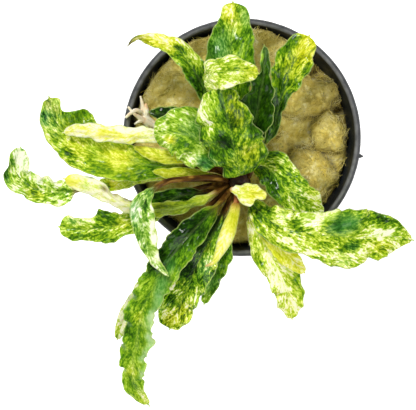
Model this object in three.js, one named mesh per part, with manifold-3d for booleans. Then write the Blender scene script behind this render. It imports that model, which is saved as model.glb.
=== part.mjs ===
// A variegated bucephalandra growing in a net pot of stone wool.
//
// Units are millimetres, +Z is up, and the origin is the centre of the pot's underside.
// +Y is the side of the back leaf, and +X the side of the long right leaf.
// The pot is an open grid cup. A plug of stone wool fills it, with three torn tufts on top.
// The rhizome stands in the middle of the wool, and each leaf grows from it as one piece:
// a round red-brown petiole that runs out into a thin blade with a wavy margin.
import * as THREE from "three";
import { mergeVertices } from "three/addons/utils/BufferGeometryUtils.js";
import Module from "manifold-3d";

const wasm = await Module();
wasm.setup();

// Driving dimensions.
const POT_HEIGHT = 50;
const RIM_RADIUS = 26;
const RIM_DEPTH = 3.4;
const WALL = 1.15;
const FLOOR = 1.4;
const MOUTH_RADIUS = 24.4; // inside the wall, at the rim
const FOOT_RADIUS = 18; // inside the wall, at the floor
const CLEARANCE = 0.35; // between pieces that touch

const POT_SIDES = 48;
const SLOT_COLUMNS = 16;
const SLOT_WIDTH = 3.4;
const SLOT_TIERS = [
  [7, 21.5],
  [25.5, 40.5],
];
const FLOOR_SLOTS = 8;
const FLOOR_SLOT_REACH = [7, 16]; // nearest and furthest from the axis

const WOOL_TOP = 45.4;
const RHIZOME_FOOT = new THREE.Vector3(-0.6, -9.6, 46.9);
const RHIZOME_TOP = new THREE.Vector3(-1.0, -9.3, 59.2);
const RHIZOME_RADII = [2.5, 2.1, 2.3, 1.9, 2.0, 1.2]; // from the foot to the top

const PETIOLE_RADIUS = 0.62;
const BLADE_THICKNESS = 0.5;
const RING_SPACING = 3.1; // between the sections of a leaf
const TIP_RADIUS = 0.16;
const LAST_RING = 0.97; // share of the blade at which its tip begins to close
// Across the leaf (1 is the left margin, -1 the right), and on the upper or lower face.
const RING = [[1, 1], [0.5, 1], [0, 1], [-0.5, 1], [-1, 1], [-0.5, -1], [0, -1], [0.5, -1]];
const UNDERSIDE = 4; // first place in the ring from which it runs back under the leaf

const COLOURS = {
  pot: 0x2b2c2e,
  wool: 0xb0a05a,
  rhizome: 0x5a3020,
  root: 0xe8d8b4,
  green: 0x4f8a1c,
  dark: 0x25601a,
  pale: 0xc9d68a,
  yellow: 0xd9d94a,
};

// Each leaf: where its petiole leaves the rhizome (azimuth in degrees, height) and the points its
// midrib runs through. start is where the blade begins, as a share of the leaf's length. blade
// lists a share of the blade's own length with the half-width there on the left and the right,
// seen from the petiole with the upper face up. roll turns the upper face from straight up, at
// the blade's start, middle and tip. fold lifts both halves from the midrib, and cup bends their
// margins on from there. All angles are in degrees.
const LEAVES = [
  {
    name: "leaf_back",
    foot: [95, 52],
    midrib: [
      [-1.6, -3, 57], [-1.7, 2.7, 61], [-2.3, 8.5, 64], [-2.4, 14.2, 66],
      [-2.5, 19, 67], [-2.1, 23.9, 66.5], [-2.1, 28.6, 64.5],
    ],
    start: 0.28,
    blade: [
      [0.15, 3, 2.5], [0.4, 5.1, 4.5], [0.62, 5.3, 5], [0.72, 4.6, 4.7], [0.8, 3.6, 4.1],
      [0.87, 2.7, 3.7], [0.93, 2.5, 3.1],
    ],
    roll: [0, -6, 4],
    fold: 8,
    cup: -22,
    ruffle: 0.5,
    waves: 4,
    colour: "green",
  },
  {
    name: "leaf_back_left_hooked",
    foot: [125, 53.5],
    midrib: [
      [-4.3, -4, 57], [-6, 3.6, 61], [-9, 11.4, 63.8], [-11.2, 15.2, 65], [-13.6, 18.1, 65.5],
      [-16.5, 19.7, 65.5], [-19.7, 20.6, 65], [-22.9, 20.8, 63.5], [-24.6, 19.1, 62],
    ],
    start: 0.36,
    blade: [
      [0.15, 1.7, 1.6], [0.35, 2.5, 2.6], [0.55, 2.3, 2.1], [0.7, 1.9, 1.5], [0.85, 1.1, 0.7],
      [0.96, 0.45, 0.35],
    ],
    roll: [-10, 10, 20],
    fold: 16,
    cup: -10,
    ruffle: 0.45,
    waves: 5,
    colour: "green",
  },
  {
    name: "leaf_inner_right",
    foot: [62, 55],
    midrib: [[0.8, -3, 59.5], [2.7, 3.1, 64], [3.7, 8.8, 67.5], [4.4, 14, 70], [4.4, 18.9, 71.5]],
    start: 0.25,
    blade: [
      [0.15, 3.4, 3], [0.35, 4.8, 3.6], [0.5, 4.4, 3.2], [0.63, 2.6, 2.2], [0.8, 1.5, 1.4],
      [0.93, 1, 1],
    ],
    roll: [0, 5, 40],
    fold: 15,
    cup: 10,
    ruffle: 0.6,
    waves: 4,
    colour: "dark",
  },
  {
    name: "leaf_back_right",
    foot: [45, 52.5],
    midrib: [
      [3, -3.5, 55], [6.6, 0.8, 57.5], [7.7, 6.1, 60], [9.5, 11.5, 62], [11.6, 16.8, 63.5],
      [14.3, 21.5, 63.5],
    ],
    start: 0.22,
    blade: [
      [0.12, 1.4, 0.9], [0.32, 2.6, 1.1], [0.5, 3.1, 2], [0.6, 3.8, 3.1], [0.7, 4.1, 3.4],
      [0.8, 4.1, 3.6], [0.92, 3.1, 2.7],
    ],
    roll: [20, 0, -6],
    fold: 8,
    cup: -12,
    ruffle: 0.6,
    waves: 5,
    colour: "green",
  },
  {
    name: "leaf_centre_right",
    foot: [80, 57],
    midrib: [
      [-0.5, -7, 60], [-0.6, -8.2, 62.8], [-0.9, -6.4, 65.8], [-2, -2.4, 70], [-3, 2.3, 73.5],
      [-4.1, 6.5, 75.6],
      [-4.6, 9.9, 76.2],
    ],
    start: 0.16,
    blade: [
      [0.1, 3.6, 5.2], [0.25, 4.8, 6.8], [0.45, 6.2, 6.6], [0.62, 6.8, 5.4], [0.8, 6.2, 4.2],
      [0.93, 4.4, 3.2],
    ],
    roll: [0, 0, 0],
    fold: 10,
    cup: -38,
    ruffle: 0.7,
    waves: 4,
    colour: "green",
  },
  {
    name: "leaf_centre_left",
    foot: [160, 57],
    midrib: [[-4.5, -6.5, 61.5], [-7.6, -3.3, 65.5], [-11, -0.4, 68.2], [-15, 0.5, 69], [-19, 0.1, 66.8]],
    start: 0.25,
    blade: [[0.12, 3.8, 5.4], [0.35, 5.4, 7], [0.6, 5.4, 6.2], [0.8, 4.5, 4.6], [0.93, 3, 3]],
    roll: [0, 0, 0],
    fold: 8,
    cup: -30,
    ruffle: 0.6,
    waves: 4,
    colour: "pale",
  },
  {
    name: "leaf_centre_curled",
    foot: [110, 55],
    midrib: [
      [-3.2, -3, 59], [-5, 4, 63], [-7.2, 9.5, 67.5], [-8, 12, 73], [-6, 12.6, 78.3],
      [-2, 12.9, 80], [3.3, 12.5, 78.5],
    ],
    start: 0.5,
    blade: [[0.12, 1.7, 2.2], [0.35, 2.6, 3.2], [0.6, 3.2, 3.6], [0.8, 2.9, 2.8], [0.93, 1.8, 1.6]],
    roll: [0, 0, 0],
    fold: 6,
    cup: -22,
    ruffle: 0.4,
    waves: 3,
    colour: "pale",
  },
  {
    name: "leaf_right_inner",
    foot: [20, 54],
    midrib: [[2.6, -6.3, 57], [6, -7.2, 59], [9.4, -10.9, 59.7], [13, -14, 58.7], [17.2, -17.4, 56.3]],
    start: 0.12,
    blade: [[0.12, 3.6, 2.6], [0.3, 4.5, 3.6], [0.55, 4, 3.8], [0.8, 3.4, 3.4], [0.93, 2, 2]],
    roll: [0, 0, 0],
    fold: 8,
    cup: -15,
    ruffle: 0.5,
    waves: 4,
    colour: "green",
  },
  {
    name: "leaf_right_long",
    foot: [-55, 56],
    midrib: [
      [2.2, -14.6, 60.5], [4.7, -17.4, 63], [9.6, -20, 65], [14.4, -20.9, 65.8], [19.3, -21.4, 65.4],
      [24.3, -21.8, 63.8], [29.3, -21.5, 61.8], [33.3, -21.7, 59.8], [36.9, -22.4, 58],
    ],
    start: 0.08,
    blade: [
      [0.1, 2.2, 2.2], [0.25, 4, 4.2], [0.42, 4.6, 4.8], [0.56, 5.7, 6.6], [0.64, 6.1, 6.4],
      [0.71, 6, 5.1], [0.8, 5.1, 4.7], [0.88, 3.6, 3.5], [0.93, 2.4, 2], [0.97, 1.1, 0.9],
    ],
    roll: [-10, 0, 4],
    fold: 10,
    cup: -16,
    ruffle: 0.8,
    waves: 6,
    colour: "pale",
  },
  {
    name: "leaf_front_right",
    foot: [-75, 51.5],
    midrib: [
      [2.1, -16, 54.5], [3.9, -20.9, 56.5], [6.2, -25.9, 56], [8.9, -30.9, 54], [10.4, -35, 51.5],
      [11, -39.9, 48.5],
    ],
    start: 0.12,
    blade: [
      [0.12, 1.6, 1.8], [0.3, 3, 3.4], [0.4, 3.4, 3.8], [0.5, 3.6, 3.4], [0.6, 4.1, 3.1],
      [0.66, 3.9, 3.4], [0.7, 3, 3.6], [0.75, 3.4, 2.9], [0.8, 3.6, 3], [0.85, 2.6, 3.1],
      [0.9, 2.5, 2.2], [0.95, 1.5, 1.4],
    ],
    roll: [0, 0, 0],
    fold: 10,
    cup: -12,
    ruffle: 0.8,
    waves: 6,
    colour: "pale",
  },
  {
    name: "leaf_front_right_yellow",
    foot: [-65, 54],
    midrib: [[1.6, -15, 58], [4.5, -19.5, 60], [8.6, -24.6, 59.6], [13.5, -29.5, 57.5]],
    start: 0.3,
    blade: [[0.2, 1.4, 1.5], [0.5, 2.1, 2.2], [0.8, 1.8, 1.9], [0.93, 1.1, 1.1]],
    roll: [0, 0, 0],
    fold: 10,
    cup: -10,
    ruffle: 0.35,
    waves: 3,
    colour: "yellow",
  },
  {
    name: "leaf_front_dark",
    foot: [-95, 50],
    midrib: [[-1.9, -15.5, 53.5], [-3.6, -20.5, 55], [-4.8, -26, 54.8], [-6.3, -31, 53], [-8.3, -36.5, 50]],
    start: 0.2,
    blade: [
      [0.15, 1.5, 1.4], [0.3, 2, 2], [0.44, 2.6, 2.4], [0.55, 2.3, 2.4], [0.7, 1.7, 2.2],
      [0.82, 1.3, 1.8], [0.93, 0.9, 1.1],
    ],
    roll: [0, 0, 0],
    fold: 12,
    cup: -8,
    ruffle: 0.6,
    waves: 5,
    colour: "dark",
  },
  {
    name: "leaf_front_broad",
    foot: [-112, 52],
    midrib: [
      [-3.5, -15.3, 55], [-6, -20.4, 57.6], [-9, -26, 58.2], [-11.4, -31.4, 56.5],
      [-13.4, -36.4, 53.5], [-15.8, -42, 50],
    ],
    start: 0.18,
    blade: [[0.12, 2, 2], [0.3, 3.9, 3.8], [0.5, 4, 4.4], [0.7, 3.4, 4.4], [0.86, 3.1, 4.2], [0.96, 2, 2.8]],
    roll: [0, 0, 0],
    fold: 10,
    cup: -10,
    ruffle: 0.7,
    waves: 6,
    colour: "green",
  },
  {
    name: "leaf_front_long",
    foot: [-128, 54.5],
    midrib: [
      [-5, -14.5, 58.3], [-8.5, -18.1, 60.2], [-11.9, -21.7, 61.4], [-15.1, -25.8, 61.4],
      [-17.6, -29.7, 60.4], [-19.8, -33.7, 58.6], [-22, -38.7, 56], [-22.9, -43.9, 52.5],
      [-24, -49.1, 48.8], [-23.8, -54.3, 45], [-20.2, -59.4, 41.5],
    ],
    start: 0.1,
    blade: [
      [0.06, 2.2, 2], [0.14, 3.2, 3], [0.22, 3.4, 3.3], [0.32, 3.6, 3.4], [0.45, 3.1, 3.3],
      [0.55, 3.1, 3.4], [0.62, 3.8, 2.9], [0.67, 3.6, 2.8], [0.72, 2.9, 3.1], [0.78, 3.2, 2.3],
      [0.85, 2.7, 2.1], [0.92, 1.9, 2.3], [0.97, 1, 1.3],
    ],
    roll: [0, 8, 0],
    fold: 14,
    cup: -14,
    ruffle: 0.7,
    waves: 9,
    colour: "green",
  },
  {
    name: "leaf_front_pale",
    foot: [-140, 50.5],
    midrib: [
      [-6.5, -14.5, 52.8], [-12, -20, 54], [-17, -26, 53.6], [-20.2, -31.8, 52], [-23.6, -36.9, 49.8],
      [-26.2, -41, 47.5], [-27.4, -44.5, 45.5],
    ],
    start: 0.4,
    blade: [[0.2, 1.5, 1.5], [0.45, 2.2, 2.2], [0.7, 2, 2], [0.88, 1.3, 1.3], [0.96, 0.8, 0.8]],
    roll: [0, 0, 0],
    fold: 10,
    cup: 0,
    ruffle: 0.5,
    waves: 5,
    colour: "pale",
  },
  {
    name: "leaf_left_hanging",
    foot: [183, 57.5],
    midrib: [
      [-6.5, -8.9, 61], [-11.5, -9.2, 64.2], [-16.3, -9.9, 66], [-19.8, -12.2, 66.8],
      [-21.4, -16, 66.8], [-20.9, -20.8, 66.2], [-19.5, -25.4, 65.2], [-15.8, -30, 64.2],
    ],
    start: 0.47,
    blade: [
      [0.08, 1.2, 1.2], [0.16, 1.6, 2.3], [0.23, 2.5, 2.8], [0.37, 2.8, 2.2], [0.48, 2.7, 2.1],
      [0.6, 2.3, 1.7], [0.72, 1.7, 1.1], [0.85, 0.9, 1], [0.95, 0.5, 0.5],
    ],
    roll: [0, 0, 0],
    fold: 14,
    cup: -12,
    ruffle: 0.4,
    waves: 5,
    colour: "pale",
  },
  {
    name: "leaf_left_turned",
    foot: [200, 55.5],
    midrib: [
      [-6.5, -12.5, 58.5], [-10.9, -14.6, 59.8], [-17.8, -15.8, 60.8], [-23.7, -15.3, 61],
      [-27.6, -13.7, 61], [-30.6, -11.8, 60.8], [-34.5, -10.1, 60.3], [-38.6, -9.1, 59.5],
    ],
    start: 0.12,
    blade: [
      [0.12, 1.3, 1.3], [0.35, 1.9, 1.9], [0.52, 1.6, 1.6], [0.68, 1.6, 1.7], [0.82, 2.4, 2.3],
      [0.94, 1.8, 1.8],
    ],
    roll: [180, 180, 180],
    fold: 25,
    cup: 15,
    ruffle: 0.35,
    waves: 6,
    colour: "pale",
  },
  {
    name: "leaf_left_low",
    foot: [204, 53],
    midrib: [
      [-7, -11.8, 55], [-13, -12.8, 56], [-19, -15.2, 56.4], [-23.8, -18.3, 55.8], [-27.8, -19.4, 55],
      [-31.8, -19.9, 54], [-35.8, -20.1, 53], [-40.1, -19.5, 52.3],
    ],
    start: 0.15,
    blade: [
      [0.1, 1.5, 1.5], [0.3, 2.8, 2.8], [0.43, 2.6, 2.9], [0.58, 2.8, 2.7], [0.64, 3.2, 3.2],
      [0.69, 3.3, 4.4], [0.74, 3.1, 2.8], [0.8, 2.4, 2.4], [0.86, 2.6, 2.5], [0.93, 2.1, 3],
    ],
    roll: [0, 0, 0],
    fold: 12,
    cup: -8,
    ruffle: 0.6,
    waves: 7,
    colour: "green",
  },
  {
    name: "leaf_left_far",
    foot: [190, 49.5],
    midrib: [
      [-8, -10.8, 51.2], [-16, -13.2, 51.9], [-24, -14.4, 52.4], [-29, -12.9, 53], [-33, -11.2, 53.6],
      [-37.3, -11.8, 54.2], [-42, -12, 55], [-46, -10.7, 56.2], [-48.3, -8, 57.5], [-48.4, -5, 58.6],
      [-47.6, -2.2, 59.3],
    ],
    start: 0.63,
    blade: [
      [0.08, 2.4, 2.1], [0.18, 3, 2.9], [0.35, 2.8, 3.4], [0.5, 2.7, 3.2], [0.6, 3.4, 2.8],
      [0.7, 3.7, 2.6], [0.8, 2.7, 2.5], [0.9, 2.2, 2.5], [0.96, 1.5, 1.4],
    ],
    roll: [0, 0, 0],
    fold: 14,
    cup: 12,
    ruffle: 0.5,
    waves: 4,
    colour: "green",
  },
  {
    name: "leaf_left_broad",
    foot: [150, 53.5],
    midrib: [
      [-6, -7.2, 57], [-12, -6.6, 59.2], [-19.8, -6.2, 60.4], [-25.7, -5.6, 60.8], [-31.5, -3.8, 60.6],
      [-36.4, -0.6, 60.8], [-39.8, 3, 61.6], [-41.4, 8.5, 63],
    ],
    start: 0.25,
    blade: [
      [0.12, 2.6, 2.4], [0.3, 3.9, 3.8], [0.48, 4.4, 4.5], [0.58, 4.8, 5.2], [0.66, 4.8, 6.2],
      [0.74, 4.4, 6.7], [0.8, 3.9, 6.3], [0.845, 3.5, 4.6], [0.875, 3.2, 2.5], [0.91, 2.7, 2],
      [0.96, 1.7, 2.2],
    ],
    roll: [0, 0, 0],
    fold: 10,
    cup: -14,
    ruffle: 0.7,
    waves: 6,
    colour: "green",
  },
  {
    name: "leaf_left_shaded",
    foot: [177, 52],
    midrib: [
      [-8, -9.2, 55.4], [-15, -9.2, 56.8], [-21, -8.8, 57.2], [-25, -9.3, 57], [-28.5, -10.2, 56.4],
      [-31.2, -10, 56],
    ],
    start: 0.5,
    blade: [[0.2, 0.9, 1.2], [0.45, 1.6, 1.8], [0.7, 1.9, 1.6], [0.93, 1.2, 1.1]],
    roll: [0, 0, 0],
    fold: 8,
    cup: -8,
    ruffle: 0.4,
    waves: 4,
    colour: "dark",
  },
  {
    name: "leaf_left_pale",
    foot: [135, 56],
    midrib: [
      [-4.5, -5, 60], [-9, -2.2, 62.3], [-14.5, -0.4, 63.6], [-19.7, 0.1, 64.4], [-25.6, 0.1, 65],
      [-30.5, 0.5, 65], [-35.3, 1.2, 64.4], [-38.5, 0.6, 63.4],
    ],
    start: 0.35,
    blade: [[0.1, 1.4, 1.4], [0.35, 1.9, 1.9], [0.6, 2.2, 2], [0.82, 1.9, 1.7], [0.94, 1.2, 1.2]],
    roll: [180, 180, 180],
    fold: 20,
    cup: 15,
    ruffle: 0.3,
    waves: 5,
    colour: "pale",
  },
  {
    name: "leaf_left_olive",
    foot: [162, 55.3],
    midrib: [[-5.5, -6.4, 59.1], [-11, -5, 61.2], [-17.3, -4.4, 62.3], [-23.4, -2.4, 62.6]],
    start: 0.35,
    blade: [[0.2, 1.1, 1.1], [0.5, 1.6, 1.6], [0.8, 1.3, 1.3], [0.94, 0.7, 0.7]],
    roll: [180, 180, 180],
    fold: 15,
    cup: 10,
    ruffle: 0.2,
    waves: 3,
    colour: "pale",
  },
  {
    name: "leaf_left_olive_short",
    foot: [184, 54],
    midrib: [[-5.5, -8.8, 57.6], [-10, -8.2, 60.8], [-15, -8.1, 62.2], [-19.3, -7.6, 62]],
    start: 0.3,
    blade: [[0.15, 1, 1], [0.4, 1.5, 1.4], [0.7, 1.4, 1.3], [0.9, 0.8, 0.8]],
    roll: [180, 180, 180],
    fold: 18,
    cup: 10,
    ruffle: 0.2,
    waves: 3,
    colour: "pale",
  },
  {
    name: "leaf_left_inner",
    foot: [132, 51.5],
    midrib: [[-5, -3.5, 54.8], [-9, 1, 57.4], [-13.5, 4, 59], [-20.2, 5.2, 58.6]],
    start: 0.4,
    blade: [[0.2, 1.5, 1.5], [0.5, 2, 2], [0.8, 1.6, 1.6], [0.94, 0.8, 0.8]],
    roll: [0, 0, 0],
    fold: 8,
    cup: -10,
    ruffle: 0.3,
    waves: 3,
    colour: "dark",
  },
  {
    name: "young_leaf_spear",
    foot: [-100, 57.5],
    midrib: [
      [-1.2, -13.4, 60.5], [-2, -16.9, 63.8], [-2.7, -18.9, 65.3], [-3.3, -20.8, 66.3],
      [-4.1, -22.8, 67], [-5, -24.9, 67.4], [-6.2, -27, 67.3], [-8, -27.8, 67],
    ],
    start: 0.2,
    blade: [
      [0.1, 1.1, 1.1], [0.22, 1.3, 1.2], [0.4, 1.6, 1.5], [0.52, 1.7, 1.6], [0.65, 1.4, 1.4],
      [0.77, 0.9, 1], [0.88, 0.5, 0.6], [0.95, 0.3, 0.35],
    ],
    roll: [0, 0, 0],
    fold: 0,
    cup: 0,
    ruffle: 0,
    waves: 0,
    rolled: true,
    colour: "yellow",
  },
  {
    name: "young_leaf_curled",
    foot: [-40, 58],
    midrib: [
      [-0.7, -11.3, 60.6], [-2.2, -11.5, 62.7], [-2.1, -11.6, 64.6], [-0.2, -12, 65.8],
      [1.7, -12.4, 66.3], [5.1, -12.7, 65.6],
    ],
    start: 0.48,
    blade: [
      [0.14, 1.2, 1.2], [0.35, 1.9, 2.3], [0.56, 2.1, 2.8], [0.64, 2.1, 2.4], [0.7, 2.1, 1.2],
      [0.84, 1.3, 1.1], [0.95, 0.8, 1],
    ],
    roll: [0, 0, 0],
    fold: 6,
    cup: -20,
    ruffle: 0.3,
    waves: 3,
    colour: "yellow",
  },
];

const rad = THREE.MathUtils.degToRad;
const lerp = THREE.MathUtils.lerp;
const smooth = (x) => THREE.MathUtils.smoothstep(x, 0, 1);

// The stone wool's upper surface: broad lumps that settle near the wall, deepest at the back.
function woolSurface(x, y) {
  const broad = 0.55 * Math.sin(0.42 * x + 1.1) * Math.cos(0.37 * y - 0.6);
  const lumps = broad + 0.35 * Math.sin(0.9 * x - 0.7 * y);
  const edge = smooth((Math.hypot(x, y) - 15) / 9);
  const drop = 0.9 + 0.03 * x + 0.06 * y;
  return WOOL_TOP + lumps * (1 - edge) - drop * edge;
}

function insideRadius(z) {
  return lerp(FOOT_RADIUS, MOUTH_RADIUS, (z - FLOOR) / (POT_HEIGHT - FLOOR));
}

// Closed surface from rings of points, each ring with the same count and direction. A ring of
// one point closes an end. From the place in the ring named by mirrored on, the faces split along
// their other diagonal, so that a thin leaf creases along the same lines above and below.
function skin(rings, mirrored = Infinity) {
  const positions = [];
  const firsts = [];
  for (const ring of rings) {
    firsts.push(positions.length / 3);
    for (const p of ring) positions.push(p.x, p.y, p.z);
  }
  const index = [];
  for (let i = 1; i < rings.length; i++) {
    const [a, b] = [rings[i - 1], rings[i]];
    const count = Math.max(a.length, b.length);
    for (let j = 0; j < count; j++) {
      const k = (j + 1) % count;
      const at = (ring, first, n) => first + (ring.length === 1 ? 0 : n);
      const [a0, a1] = [at(a, firsts[i - 1], j), at(a, firsts[i - 1], k)];
      const [b0, b1] = [at(b, firsts[i], j), at(b, firsts[i], k)];
      const other = j >= mirrored;
      if (a0 !== a1) index.push(a0, a1, other ? b0 : b1);
      if (b0 !== b1) index.push(other ? a1 : a0, b1, b0);
    }
  }
  const geometry = new THREE.BufferGeometry();
  geometry.setAttribute("position", new THREE.Float32BufferAttribute(positions, 3));
  geometry.setIndex(index);
  return geometry;
}

function toManifold(geometry) {
  const bare = geometry.clone();
  bare.deleteAttribute("normal");
  bare.deleteAttribute("uv");
  const merged = mergeVertices(bare, 1e-4);
  const solid = new wasm.Manifold(
    new wasm.Mesh({
      numProp: 3,
      vertProperties: new Float32Array(merged.attributes.position.array),
      triVerts: new Uint32Array(merged.index.array),
    }),
  );
  return solid;
}

function fromManifold(solid) {
  const mesh = solid.getMesh();
  const geometry = new THREE.BufferGeometry();
  geometry.setAttribute("position", new THREE.BufferAttribute(new Float32Array(mesh.vertProperties), 3));
  geometry.setIndex(new THREE.BufferAttribute(new Uint32Array(mesh.triVerts), 1));
  return geometry;
}

function piece(name, geometry, colour, roughness = 0.5) {
  geometry.computeVertexNormals();
  const material = new THREE.MeshStandardMaterial({ color: COLOURS[colour], roughness, metalness: 0 });
  const mesh = new THREE.Mesh(geometry, material);
  mesh.name = name;
  return mesh;
}

// The pot: a tapered cup with a rolled lip, slots in two tiers round the wall and in the floor,
// and the small moulding nib left on the lip.
function netPot() {
  const lipUnder = POT_HEIGHT - RIM_DEPTH;
  const profile = [
    [0, 0],
    [FOOT_RADIUS + 0.6, 0],
    [FOOT_RADIUS + WALL, 0.7],
    [insideRadius(lipUnder) + WALL, lipUnder],
    [RIM_RADIUS - 0.1, lipUnder + 0.4],
    [RIM_RADIUS, POT_HEIGHT - 0.9],
    [RIM_RADIUS - 0.5, POT_HEIGHT],
    [RIM_RADIUS - 1.1, POT_HEIGHT],
    [MOUTH_RADIUS, POT_HEIGHT - 0.5],
    [FOOT_RADIUS, FLOOR],
    [0, FLOOR],
  ].map(([r, z]) => new THREE.Vector2(r, z));
  const cup = new THREE.LatheGeometry(profile, POT_SIDES);
  cup.rotateX(Math.PI / 2);
  let solid = toManifold(cup);

  for (const [low, high] of SLOT_TIERS) {
    for (let i = 0; i < SLOT_COLUMNS; i++) {
      const slot = new THREE.BoxGeometry(12, SLOT_WIDTH, high - low);
      slot.translate(22, 0, (low + high) / 2);
      slot.rotateZ((i + 0.5) * ((2 * Math.PI) / SLOT_COLUMNS));
      solid = solid.subtract(toManifold(slot));
    }
  }
  const [near, far] = FLOOR_SLOT_REACH;
  for (let i = 0; i < FLOOR_SLOTS; i++) {
    const slot = new THREE.BoxGeometry(far - near, SLOT_WIDTH, 4);
    slot.translate((near + far) / 2, 0, 0.5);
    slot.rotateZ((i + 0.5) * ((2 * Math.PI) / FLOOR_SLOTS));
    solid = solid.subtract(toManifold(slot));
  }
  const nib = new THREE.ConeGeometry(0.6, 1.6, 5);
  nib.rotateZ(-Math.PI / 2);
  nib.translate(RIM_RADIUS + 0.3, 0, POT_HEIGHT - 1.6);
  nib.rotateZ(rad(-9));
  solid = solid.add(toManifold(nib));
  return piece("net_pot", fromManifold(solid), "pot", 0.45);
}

// The plug: the inside of the pot less the clearance, up to the lumpy wool surface.
function woolPlug() {
  const sides = 36;
  const circle = (place) =>
    Array.from({ length: sides }, (_, i) => {
      const a = (i * 2 * Math.PI) / sides;
      return place(Math.cos(a), Math.sin(a));
    });
  const wall = (z) => insideRadius(z) - CLEARANCE;
  const against = (z) => circle((c, s) => new THREE.Vector3(wall(z) * c, wall(z) * s, z));
  const topAt = (r) => circle((c, s) => new THREE.Vector3(r * c, r * s, woolSurface(r * c, r * s)));
  const edge = circle((c, s) => {
    const z = woolSurface(22.8 * c, 22.8 * s) - 0.6;
    return new THREE.Vector3(wall(z) * c, wall(z) * s, z);
  });
  const bottom = FLOOR + CLEARANCE;
  const rings = [
    [new THREE.Vector3(0, 0, bottom)],
    against(bottom),
    edge,
    ...[22.4, 19.5, 15, 10.5, 5.5].map(topAt),
    [new THREE.Vector3(0, 0, woolSurface(0, 0))],
  ];
  return piece("stone_wool_plug", skin(rings), "wool", 0.95);
}

// A torn tuft lying on the plug: an oval dome with a lumpy top, following the plug beneath.
function woolTuft({ name, centre, radii, turn, height, seed }) {
  const sides = 16;
  const shares = [0.35, 0.65, 0.88];
  const at = (share, i) => {
    const a = (i * 2 * Math.PI) / sides;
    const wobble = 1 + 0.07 * Math.sin(3 * a + seed) + 0.05 * Math.sin(5 * a - 2 * seed);
    const [u, v] = [radii[0] * share * wobble * Math.cos(a), radii[1] * share * wobble * Math.sin(a)];
    const t = rad(turn);
    return [centre[0] + u * Math.cos(t) - v * Math.sin(t), centre[1] + u * Math.sin(t) + v * Math.cos(t)];
  };
  const under = (x, y) => woolSurface(x, y) + CLEARANCE + 0.25;
  const lumps = (x, y) => 1 + 0.12 * Math.sin(0.9 * x + seed) * Math.cos(0.8 * y - seed);
  const over = (share, x, y) => under(x, y) + height * (1 - share ** 2.4) * lumps(x, y);
  const ring = (share, top) =>
    Array.from({ length: sides }, (_, i) => {
      const [x, y] = at(share, i);
      return new THREE.Vector3(x, y, top ? over(share, x, y) : under(x, y));
    });
  const [cx, cy] = centre;
  const rings = [
    [new THREE.Vector3(cx, cy, under(cx, cy))],
    ring(0.65, false),
    ring(1, false),
    ...shares.toReversed().map((share) => ring(share, true)),
    [new THREE.Vector3(cx, cy, over(0, cx, cy))],
  ];
  return piece(name, skin(rings), "wool", 0.95);
}

const TUFTS = [
  {
    name: "stone_wool_tuft_back",
    centre: [13.3, 9], radii: [7.2, 5], turn: 20, height: 2.7, seed: 0.4,
  },
  {
    name: "stone_wool_tuft_right",
    centre: [17.4, -0.4], radii: [4.9, 3.9], turn: 84, height: 2.5, seed: 2.1,
  },
  {
    name: "stone_wool_tuft_front",
    centre: [13.8, -9.2], radii: [6.6, 4.4], turn: -45, height: 2.4, seed: 4.4,
  },
];

function rhizomePoint(share) {
  return RHIZOME_FOOT.clone().lerp(RHIZOME_TOP, share);
}

function rhizomeRadius(share) {
  const at = THREE.MathUtils.clamp(share, 0, 1) * (RHIZOME_RADII.length - 1);
  const i = Math.min(Math.floor(at), RHIZOME_RADII.length - 2);
  return lerp(RHIZOME_RADII[i], RHIZOME_RADII[i + 1], at - i);
}

function rhizome() {
  const sides = 10;
  const rings = [[rhizomePoint(0)]];
  RHIZOME_RADII.forEach((radius, i) => {
    const middle = rhizomePoint(i / (RHIZOME_RADII.length - 1));
    rings.push(
      Array.from({ length: sides }, (_, j) => {
        const a = (j * 2 * Math.PI) / sides;
        return middle.clone().add(new THREE.Vector3(radius * Math.cos(a), radius * Math.sin(a), 0));
      }),
    );
  });
  rings.push([RHIZOME_TOP.clone().add(new THREE.Vector3(0, 0, 0.5))]);
  return piece("rhizome", skin(rings), "rhizome", 0.6);
}

// Where a petiole leaves the rhizome: just clear of its side, at an azimuth and a height.
function petioleFoot([azimuth, height]) {
  const share = (height - RHIZOME_FOOT.z) / (RHIZOME_TOP.z - RHIZOME_FOOT.z);
  const reach = rhizomeRadius(share) + CLEARANCE + 0.1;
  const out = new THREE.Vector3(Math.cos(rad(azimuth)), Math.sin(rad(azimuth)), 0);
  return rhizomePoint(share).addScaledVector(out, reach);
}

// Half-width of the blade at a share of its length. column is 1 for the left half, 2 for the
// right. It swells from nothing, runs smoothly through the listed rows and ends in a round tip.
function bladeWidth(rows, share, column) {
  const first = rows[0];
  const last = rows[rows.length - 1];
  if (share <= 0 || share >= 1) return 0;
  if (share <= first[0]) return first[column] * Math.sin((Math.PI / 2) * (share / first[0]));
  if (share >= last[0]) return last[column] * Math.sqrt(1 - ((share - last[0]) / (1 - last[0])) ** 2);
  const i = rows.findIndex((row) => row[0] > share) - 1;
  const slope = (a, b) => (b[column] - a[column]) / (b[0] - a[0]);
  const gap = rows[i + 1][0] - rows[i][0];
  const slopeIn = i > 0 ? slope(rows[i - 1], rows[i + 1]) : slope(rows[0], rows[1]);
  const slopeOut = i + 2 < rows.length ? slope(rows[i], rows[i + 2]) : slope(rows[i], rows[i + 1]);
  const t = (share - rows[i][0]) / gap;
  const [a, b] = [rows[i][column], rows[i + 1][column]];
  return (
    (2 * t ** 3 - 3 * t ** 2 + 1) * a +
    (t ** 3 - 2 * t ** 2 + t) * gap * slopeIn +
    (3 * t ** 2 - 2 * t ** 3) * b +
    (t ** 3 - t ** 2) * gap * slopeOut
  );
}

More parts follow.
